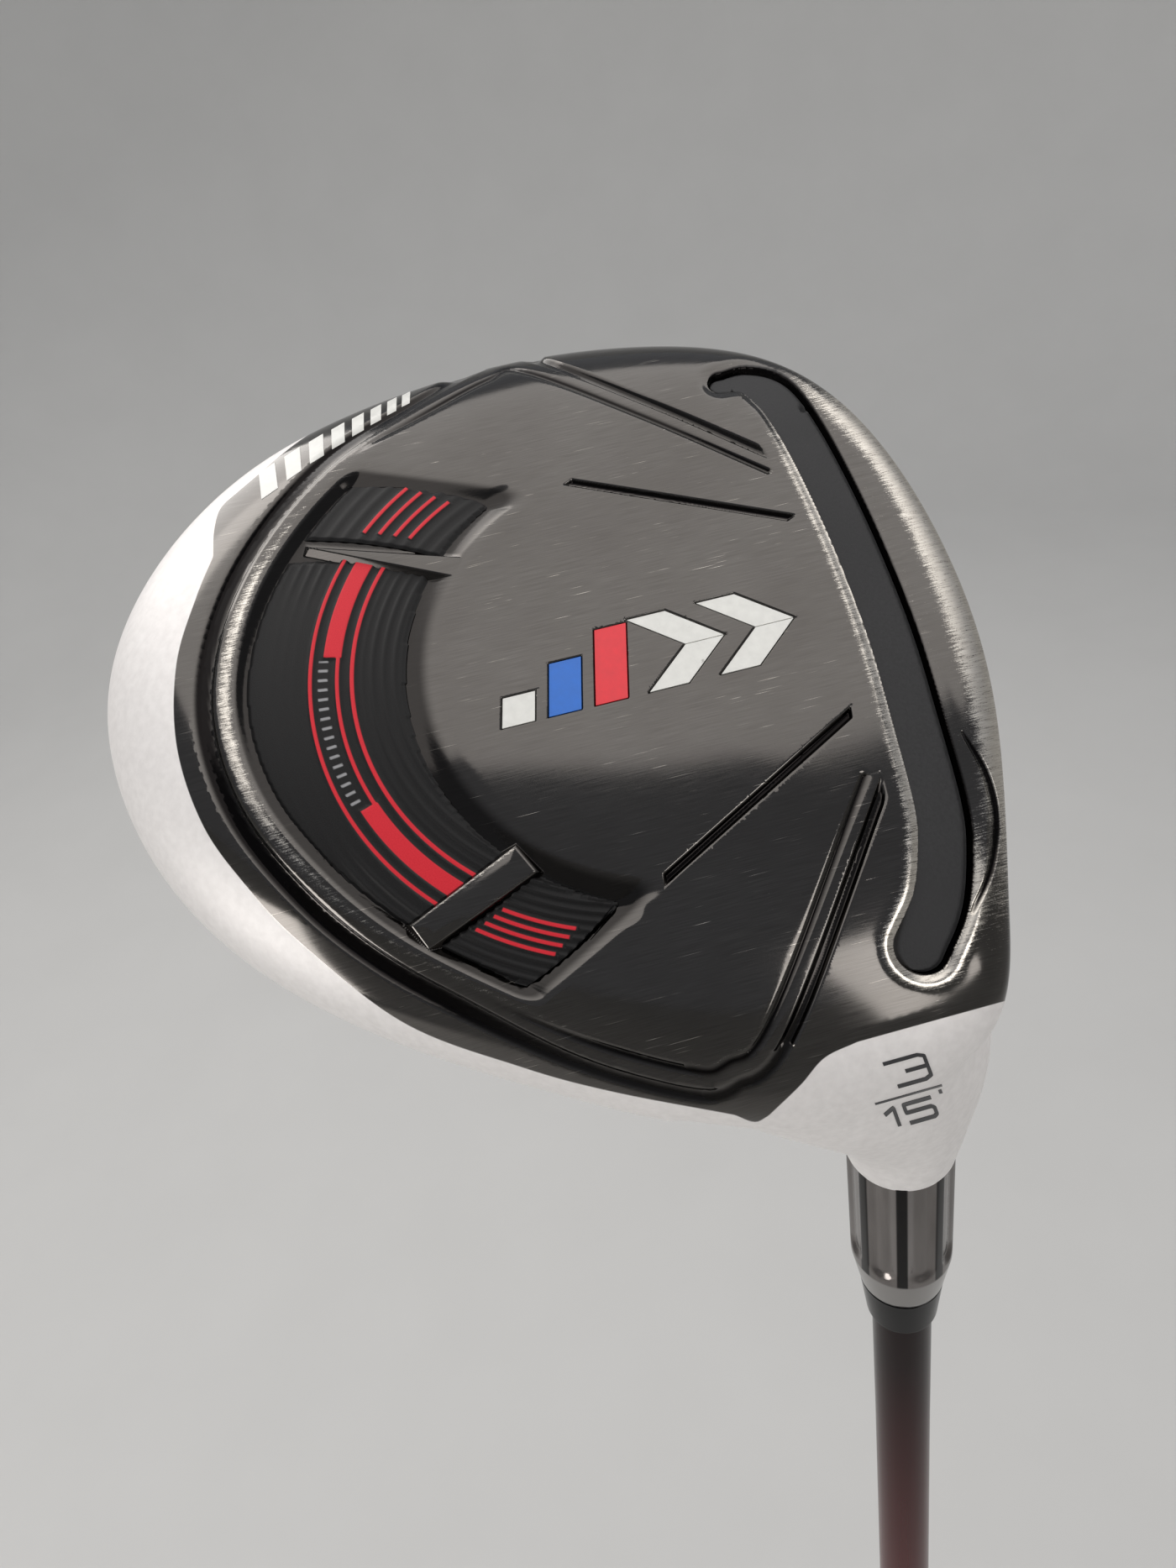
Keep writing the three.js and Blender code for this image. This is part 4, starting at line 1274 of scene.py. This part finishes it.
# ------------------------------------------------------------------------ materials
class Shader:
    """A node material, built one node at a time around a Principled shader."""

    def __init__(self, name, **settings):
        self.material = bpy.data.materials.new(name)
        self.material.use_nodes = True
        self.tree = self.material.node_tree
        self.bsdf = self.tree.nodes["Principled BSDF"]
        for key, value in settings.items():
            self.bsdf.inputs[key.replace("_", " ")].default_value = value

    def put(self, socket, value):
        if isinstance(value, bpy.types.NodeSocket):
            self.tree.links.new(value, socket)
        elif hasattr(socket.default_value, "__len__") and len(socket.default_value) == 4:
            socket.default_value = (*value, 1) if len(value) == 3 else value
        else:
            socket.default_value = value

    def node(self, kind, inputs=None, **settings):
        made = self.tree.nodes.new(kind)
        for key, value in settings.items():
            setattr(made, key, value)
        for key, value in (inputs or {}).items():
            self.put(made.inputs[key], value)
        return made

    def set(self, **sockets):
        for key, value in sockets.items():
            self.put(self.bsdf.inputs[key.replace("_", " ")], value)
        return self

    def place(self, attribute=None, scale=(1, 1, 1), turn=0.0):
        """Texture coordinates: a stored vector, or the object's own in metres."""
        if attribute:
            source = self.node("ShaderNodeAttribute", attribute_name=attribute).outputs["Vector"]
        else:
            source = self.node("ShaderNodeTexCoord").outputs["Object"]
        mapped = self.node("ShaderNodeMapping", {"Vector": source, "Scale": scale,
                                                 "Rotation": (0, 0, turn)})
        return mapped.outputs["Vector"]

    def noise(self, place, scale=1.0, detail=3.0, rough=0.55):
        return self.node("ShaderNodeTexNoise", {"Vector": place, "Scale": scale, "Detail": detail,
                                                "Roughness": rough}).outputs["Fac"]

    def value(self, attribute):
        return self.node("ShaderNodeAttribute", attribute_name=attribute).outputs["Fac"]

    def fit(self, value, low, high, to_low=0.0, to_high=1.0):
        """value moved from low..high to to_low..to_high, and held between them."""
        return self.node("ShaderNodeMapRange", {
            "Value": value, "From Min": low, "From Max": high, "To Min": to_low,
            "To Max": to_high}).outputs["Result"]

    def maths(self, operation, a, b):
        made = self.node("ShaderNodeMath", operation=operation)
        self.put(made.inputs[0], a)
        self.put(made.inputs[1], b)
        return made.outputs[0]

    def blend(self, share, a, b):
        """Colour a where share is 0, colour b where it is 1."""
        made = self.node("ShaderNodeMix", data_type="RGBA")
        self.put(made.inputs[0], share)
        self.put(made.inputs[6], a)
        self.put(made.inputs[7], b)
        return made.outputs[2]

    def mottled(self, noise, a, b, low=0.3):
        """Colours a and b mixed by a noise."""
        return self.blend(self.fit(noise, low, 0.7), a, b)

    def finished(self, colour, noise, rough_low, rough_high, distance, strength):
        """The material in a colour, with a noise for its roughness and its bumps."""
        self.set(Base_Color=colour, Roughness=self.fit(noise, 0.3, 0.7, rough_low, rough_high))
        return self.bump(noise, distance, strength).material

    def bump(self, height, distance, strength=1.0):
        made = self.node("ShaderNodeBump", {"Height": height, "Distance": distance,
                                            "Strength": strength})
        self.put(self.bsdf.inputs["Normal"], made.outputs["Normal"])
        return self


def scratched(m, worn):
    """The worn share with three runs of long fine scratches added."""
    for turn, strength in ((0.12, 0.85), (-0.35, 0.6), (1.2, 0.4)):
        line = m.noise(m.place("flat", (11, 0.13, 1), turn), 1.0, 1, 0.4)
        where = m.noise(m.place("flat", (0.3, 0.16, 1), turn + 0.4), 1.0, 2)
        mark = m.maths("MULTIPLY", m.fit(line, 0.72, 0.78), m.fit(where, 0.54, 0.61))
        worn = m.maths("MAXIMUM", worn, m.maths("MULTIPLY", mark, strength))
    return worn


def head_material():
    """Dark brushed finish on the sole, worn to bright steel, with painted shade in its grooves,
    slot and recess, and satin silver paint.
    """
    m = Shader("head_finish")
    brushed = m.noise(m.place("flat", (9, 0.22, 1)), 1.0, 4, 0.6)
    cloud = m.noise(m.place("flat", (0.06, 0.06, 1)), 1.0, 2)
    fine = m.noise(m.place("flat", (7.0, 0.5, 1), 0.06), 1.0, 4, 0.75)
    grit = m.noise(m.place("flat", (6.0, 6.0, 1)), 1.0, 4, 0.7)
    dark = m.mottled(brushed, (0.088, 0.083, 0.078), (0.122, 0.116, 0.110))
    dark = m.blend(m.fit(cloud, 0.35, 0.7, 0, 0.35), dark, (0.075, 0.069, 0.064))
    bare = m.mottled(fine, (0.48, 0.44, 0.39), (0.84, 0.80, 0.73))
    worn = m.maths("ADD", m.value("wear"), m.fit(fine, 0.25, 0.75, -0.45, 0.45))
    worn = m.maths("ADD", worn, m.fit(grit, 0.25, 0.75, -0.25, 0.25))
    worn = m.fit(worn, 0.42, 0.85)
    worn = scratched(m, worn)
    dark = m.blend(worn, dark, bare)
    # Painted shade: grooves, slot and recess painted near-black as if in shadow.
    dark = m.blend(m.value("soot"), dark, (0.010, 0.009, 0.009))
    speckle = m.noise(m.place(scale=(900, 900, 900)), 1.0, 2)
    silver = m.mottled(speckle, (0.80, 0.775, 0.76), (0.87, 0.845, 0.83))
    painted = m.fit(m.value("paint"), -0.05, 0.05)
    colour = m.blend(painted, dark, silver)
    rough = m.fit(brushed, 0.25, 0.75, 0.07, 0.15)
    rough = m.maths("ADD", rough, m.maths("MULTIPLY", worn, 0.2))
    rough = m.maths("ADD", m.maths("MULTIPLY", rough, m.maths("SUBTRACT", 1.0, painted)),
                    m.maths("MULTIPLY", painted, 0.5))
    m.set(Base_Color=colour, Roughness=rough, Metallic=m.fit(painted, 0, 1, 1.0, 0.25))
    height = m.maths("ADD", m.maths("MULTIPLY", brushed, 0.25), m.maths("MULTIPLY", worn, -0.3))
    return m.bump(height, 0.00002, 0.35).material


def steel_material(name, colour, rough, scale=(60, 60, 900)):
    """Brushed bare steel."""
    m = Shader(name, Metallic=1.0)
    grain = m.noise(m.place(scale=scale), 1.0, 4)
    base = m.mottled(grain, tuple(c * 0.8 for c in colour), colour)
    return m.finished(base, grain, rough - 0.06, rough + 0.08, 0.00002, 0.4)


def hosel_material():
    """Dark polished metal, brighter and turned on the chamfer, with painted shade on the lands
    between the flutes.
    """
    m = Shader("hosel_dark_metal", Metallic=1.0)
    grain = m.noise(m.place(scale=(300, 300, 40)), 1.0, 3)
    dark = m.mottled(grain, (0.15, 0.138, 0.132), (0.23, 0.212, 0.205))
    # Painted shade: the narrow lands between the flutes are painted near-black.
    dark = m.blend(m.fit(m.value("facet"), 0.25, 0.05), dark, (0.012, 0.011, 0.011))
    bright = m.fit(m.value("along"), FLUTES_TOP + 0.3, FLUTES_TOP + 0.7)
    base = m.blend(bright, dark, (0.26, 0.25, 0.24))
    return m.finished(base, grain, 0.17, 0.25, 0.00002, 0.3)


def rubber_material(name, colour, rough=0.7, grain_size=900):
    """Matt moulded rubber or plastic with a fine grain."""
    m = Shader(name, Specular_IOR_Level=0.35)
    grain = m.noise(m.place(scale=(grain_size,) * 3), 1.0, 3)
    cloud = m.noise(m.place(scale=(60, 60, 60)), 1.0, 2)
    light = tuple(c * 1.6 for c in colour)
    base = m.mottled(grain, colour, light, low=0.35)
    base = m.blend(m.fit(cloud, 0.4, 0.75, 0, 0.3), base, tuple(c * 0.6 for c in colour))
    return m.finished(base, grain, rough - 0.08, rough + 0.1, 0.00008, 0.5)


def badge_material():
    """Matt black badge with red arcs, grey ticks and a few rubs."""
    m = Shader("badge_rubber", Specular_IOR_Level=0.2)
    grain = m.noise(m.place("flat", (7, 7, 1)), 1.0, 3)
    specks = m.noise(m.place("flat", (2.2, 2.2, 5)), 1.0, 5, 0.75)
    base = m.mottled(grain, (0.007, 0.007, 0.0075), (0.014, 0.0135, 0.0135), low=0.35)
    base = m.blend(m.fit(specks, 0.69, 0.75, 0, 0.3), base, (0.2, 0.2, 0.2))
    base = m.blend(m.fit(m.value("grey"), 0.06, -0.06), base, (0.3, 0.3, 0.31))
    red = m.mottled(grain, (0.60, 0.022, 0.035), (0.68, 0.03, 0.045))
    base = m.blend(m.fit(m.value("red"), 0.05, -0.05), base, red)
    return m.finished(base, grain, 0.42, 0.58, 0.00004, 0.4)


def carbon_material():
    """Glossy carbon weave under clear lacquer."""
    m = Shader("carbon_weave", Coat_Weight=1.0, Coat_Roughness=0.06, Metallic=0.0)
    weave = []
    for turn in (0.785, -0.785):
        wave = m.node("ShaderNodeTexWave", {"Vector": m.place(scale=(1, 1, 1), turn=turn),
                                            "Scale": 130.0, "Distortion": 0.0},
                      wave_type="BANDS", bands_direction="X", wave_profile="SIN")
        weave.append(wave.outputs["Fac"])
    tow = m.maths("MULTIPLY", m.fit(weave[0], 0.42, 0.58), m.fit(weave[1], 0.42, 0.58))
    other = m.maths("MULTIPLY", m.fit(weave[0], 0.58, 0.42), m.fit(weave[1], 0.58, 0.42))
    cell = m.maths("ADD", tow, other)
    fibre = m.noise(m.place(scale=(2500, 2500, 300), turn=0.785), 1.0, 2)
    base = m.blend(cell, (0.012, 0.012, 0.013), (0.045, 0.045, 0.048))
    base = m.blend(m.fit(fibre, 0.3, 0.7, 0, 0.4), base, (0.02, 0.02, 0.022))
    m.set(Base_Color=base, Roughness=m.fit(cell, 0, 1, 0.3, 0.5))
    return m.bump(cell, 0.00003, 0.4).material


def lacquer_material(name, top, bottom=None, heights=(0, 1)):
    """Glossy lacquer, which may run from one colour to another up the club."""
    m = Shader(name, Coat_Weight=0.1, Coat_Roughness=0.03, Specular_IOR_Level=0.06)
    cloud = m.noise(m.place(scale=(40, 40, 12)), 1.0, 3)
    base = top
    if bottom is not None:
        height = m.node("ShaderNodeSeparateXYZ", {"Vector": m.place()}).outputs["Z"]
        base = m.blend(m.fit(height, heights[0], heights[1]), bottom, top)
    base = m.blend(m.fit(cloud, 0.35, 0.75, 0, 0.25), base, tuple(c * 0.5 for c in top))
    m.set(Base_Color=base, Roughness=m.fit(cloud, 0.3, 0.7, 0.16, 0.26))
    return m.bump(m.noise(m.place(scale=(700, 700, 700)), 1.0, 2), 0.00001, 0.2).material


def plain_material(name, colour, rough, metal=0.0):
    """Castings, glue and paper that stay inside the club."""
    m = Shader(name, Metallic=metal)
    grain = m.noise(m.place(scale=(500, 500, 500)), 1.0, 4)
    base = m.mottled(grain, tuple(c * 0.7 for c in colour), colour)
    return m.finished(base, grain, rough - 0.1, rough + 0.1, 0.0001, 0.4)


PAINTS = {
    "white": (0.80, 0.80, 0.76),
    "red": (0.80, 0.03, 0.045),
    "blue": (0.02, 0.16, 0.62),
    "grey": (0.035, 0.035, 0.038),
}


def paint_material(name, colour):
    """Enamel fill, a little rubbed and speckled."""
    m = Shader(name, Specular_IOR_Level=0.5)
    grain = m.noise(m.place(scale=(900, 900, 900)), 1.0, 3)
    chips = m.noise(m.place(scale=(420, 420, 420)), 1.0, 4, 0.7)
    base = m.mottled(grain, tuple(c * 0.9 for c in colour), colour)
    base = m.blend(m.fit(chips, 0.69, 0.73, 0, 0.5), base, (0.2, 0.19, 0.17))
    return m.finished(base, grain, 0.28, 0.4, 0.00003, 0.3)


# ----------------------------------------------------------------------- the pieces
def add_head():
    skin = plain_skin(720, 60, "fine_skin")
    shell = head_shell()
    points = points_of(shell)
    flat = laid_flat(points)
    panel, _ = panel_distance(flat)
    slot = slot_distance(flat)
    below = smooth(26.0, 20.0, points[:, 2])
    give(shell, "flat", as_vectors(flat))
    give(shell, "wear", wear(flat, panel, slot) * below)
    # Painted shade for the grooves, slot and recess, stored for the head's material.
    give(shell, "soot", soot(flat, panel, slot) * below)
    give(shell, "paint", paint_distance(points, flat))
    drape = Drape(shell)
    add_piece("head_shell", shell, head_material(), ["head_body"])
    add_piece("hosel_sleeve", fluted_hosel_mesh(), hosel_material(), ["head_body"])
    face_steel = steel_material("face_steel", (0.55, 0.54, 0.53), 0.38)
    add_piece("face_insert", face_plate_mesh(skin), face_steel, ["face_plate"])
    crown = crown_shell_mesh(skin)
    add_piece("crown_carbon", crown, carbon_material(), ["crown_shell"])
    filler = rubber_material("slot_rubber", (0.022, 0.022, 0.023), 0.62, 2600)
    add_piece("slot_filler", slot_insert_mesh(), filler, ["slot_insert"])
    marks = [("emblem_" + colour, emblem_mesh("emblem", shapes), colour, PAINTS[colour])
             for colour, shapes in emblem_parts().items()]
    marks += [("skirt_dashes", skirt_dashes(drape), "dashes", PAINTS["white"]),
              ("loft_marks", loft_marks(drape), "marks", PAINTS["grey"])]
    for name, mesh, paint, colour in marks:
        add_piece(name, mesh, paint_material("paint_" + paint, colour), [])
    badge = badge_material()
    for name in BADGES:
        add_piece(name + "_ribbed", badge_mesh(name), badge, [name])


def add_shaft_and_grip():
    top = CLUB_LENGTH * MM
    lacquer = lacquer_material("shaft_lacquer", (0.010, 0.004, 0.004), (0.12, 0.014, 0.014),
                               (top - 0.22, top - 0.10))
    add_piece("shaft_tube", shaft_mesh(), lacquer, ["shaft"], TO_METRES)
    black = lacquer_material("ferrule_black", (0.006, 0.006, 0.006))
    add_piece("ferrule_ring", ferrule_mesh(), black, ["ferrule"], TO_METRES)
    rubber = rubber_material("grip_rubber", (0.014, 0.014, 0.0145), 0.75, 1500)
    add_piece("grip_sleeve", grip_mesh(), rubber, ["grip"], TO_METRES)
    add_piece("grip_end_cap", cap_mesh(), rubber, ["grip_cap"], TO_METRES)


def finish_inner_nodes():
    """Procedural finishes for the CAD nodes that stay: the pieces inside the club."""
    finishes = {
        "weight_toe": plain_material("tungsten", (0.2, 0.2, 0.21), 0.5, 1.0),
        "hot_melt_pad": plain_material("hot_melt", (0.45, 0.32, 0.1), 0.5),
        "tip_weight_pin": plain_material("brass", (0.5, 0.33, 0.1), 0.4, 1.0),
        "grip_tape": plain_material("tape_paper", (0.6, 0.48, 0.25), 0.8),
    }
    finishes["weight_heel"] = finishes["weight_toe"]
    for node, made in finishes.items():
        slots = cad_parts[node].data.materials
        slots.clear()
        slots.append(made)


# --------------------------------------------------------------------------- studio
def add_backdrop():
    """A round pale floor that sweeps up into a wall."""
    flat_reach, bend, wall = 2.6, 1.1, 1.6
    profile = [(r, 0.0) for r in np.linspace(0.4, flat_reach, 12)]
    profile += [(flat_reach + bend * math.sin(a), bend - bend * math.cos(a))
                for a in np.linspace(0, math.pi / 2, 20)[1:]]
    profile += [(flat_reach + bend, bend + wall)]
    count = 128
    angle = full_turn(count)
    rings = [np.column_stack([r * np.cos(angle), r * np.sin(angle), np.full(count, z)])
             for r, z in profile]
    points = np.concatenate([[[0, 0, 0]], *rings])
    i = np.arange(count)
    middle = np.stack([np.zeros(count, int), 1 + i, 1 + (i + 1) % count], 1)
    quads = []
    for r in range(len(rings) - 1):
        quads += joined(1 + r * count, count, 1 + (r + 1) * count, count)
    mesh = make_mesh("floor", points, middle, *[q[:, ::-1] for q in quads])
    mesh.shade_smooth()
    m = Shader("pale_floor", Roughness=0.75, Specular_IOR_Level=0.2)
    cloud = m.noise(m.place(scale=(6, 6, 6)), 1.0, 3)
    m.set(Base_Color=m.blend(cloud, (0.60, 0.60, 0.59), (0.64, 0.64, 0.63)))
    mesh.materials.append(m.material)
    floor = shown("floor", mesh)


def add_softbox(name, place, aim, size, power, tint=(1, 0.97, 0.94)):
    light = bpy.data.lights.new(name, "AREA")
    light.shape = "RECTANGLE"
    light.size, light.size_y = size
    light.energy = power
    light.color = tint
    lamp = shown(name, light)
    lamp.location = place
    lamp.rotation_mode = "QUATERNION"
    lamp.rotation_quaternion = (Vector(aim) - Vector(place)).to_track_quat("-Z", "Y")


def add_studio():
    add_backdrop()
    add_softbox("overhead", (0.55, 0.05, 2.3), (0.55, 0.05, 0), (1.8, 2.8), 21)
    add_softbox("left_fill", (-2.2, -1.2, 2.2), (0, 0, 0.8), (1.4, 1.4), 22)
    add_softbox("right_fill", (2.2, 1.2, 2.4), (0, 0, 0.7), (1.6, 1.6), 22)
    add_softbox("low_fill", (-0.7, 2.2, 0.9), (0, 0, 1.0), (0.7, 1.3), 18)
    world = bpy.data.worlds.new("studio")
    bpy.context.scene.world = world
    world.use_nodes = True
    world.node_tree.nodes["Background"].inputs["Color"].default_value = (0.9, 0.93, 1, 1)
    world.node_tree.nodes["Background"].inputs["Strength"].default_value = 0.3
    bpy.context.scene.view_settings.view_transform = "Standard"


def add_camera():
    """Close over the sole, looking along the head toward the toe, held upright."""
    forward = Vector((0.3926, 0.0818, 0.916)).normalized()
    down = Vector((-0.883, -0.2449, 0.4004))
    down = (down - forward * down.dot(forward)).normalized()
    right = down.cross(forward).normalized()
    basis = Matrix((right, -down, -forward)).transposed().to_4x4()
    lens = bpy.data.cameras.new("camera")
    lens.sensor_fit = "VERTICAL"
    lens.sensor_height = 36
    lens.lens = 27.05
    lens.clip_start = 0.01
    camera = shown("camera", lens)
    turn = TO_PART.to_3x3().to_4x4() @ basis
    camera.matrix_world = Matrix.Translation(HEAD_TO_SCENE @ Vector(EYE)) @ turn
    bpy.context.scene.camera = camera


add_camera()
add_studio()
add_head()
add_shaft_and_grip()
finish_inner_nodes()
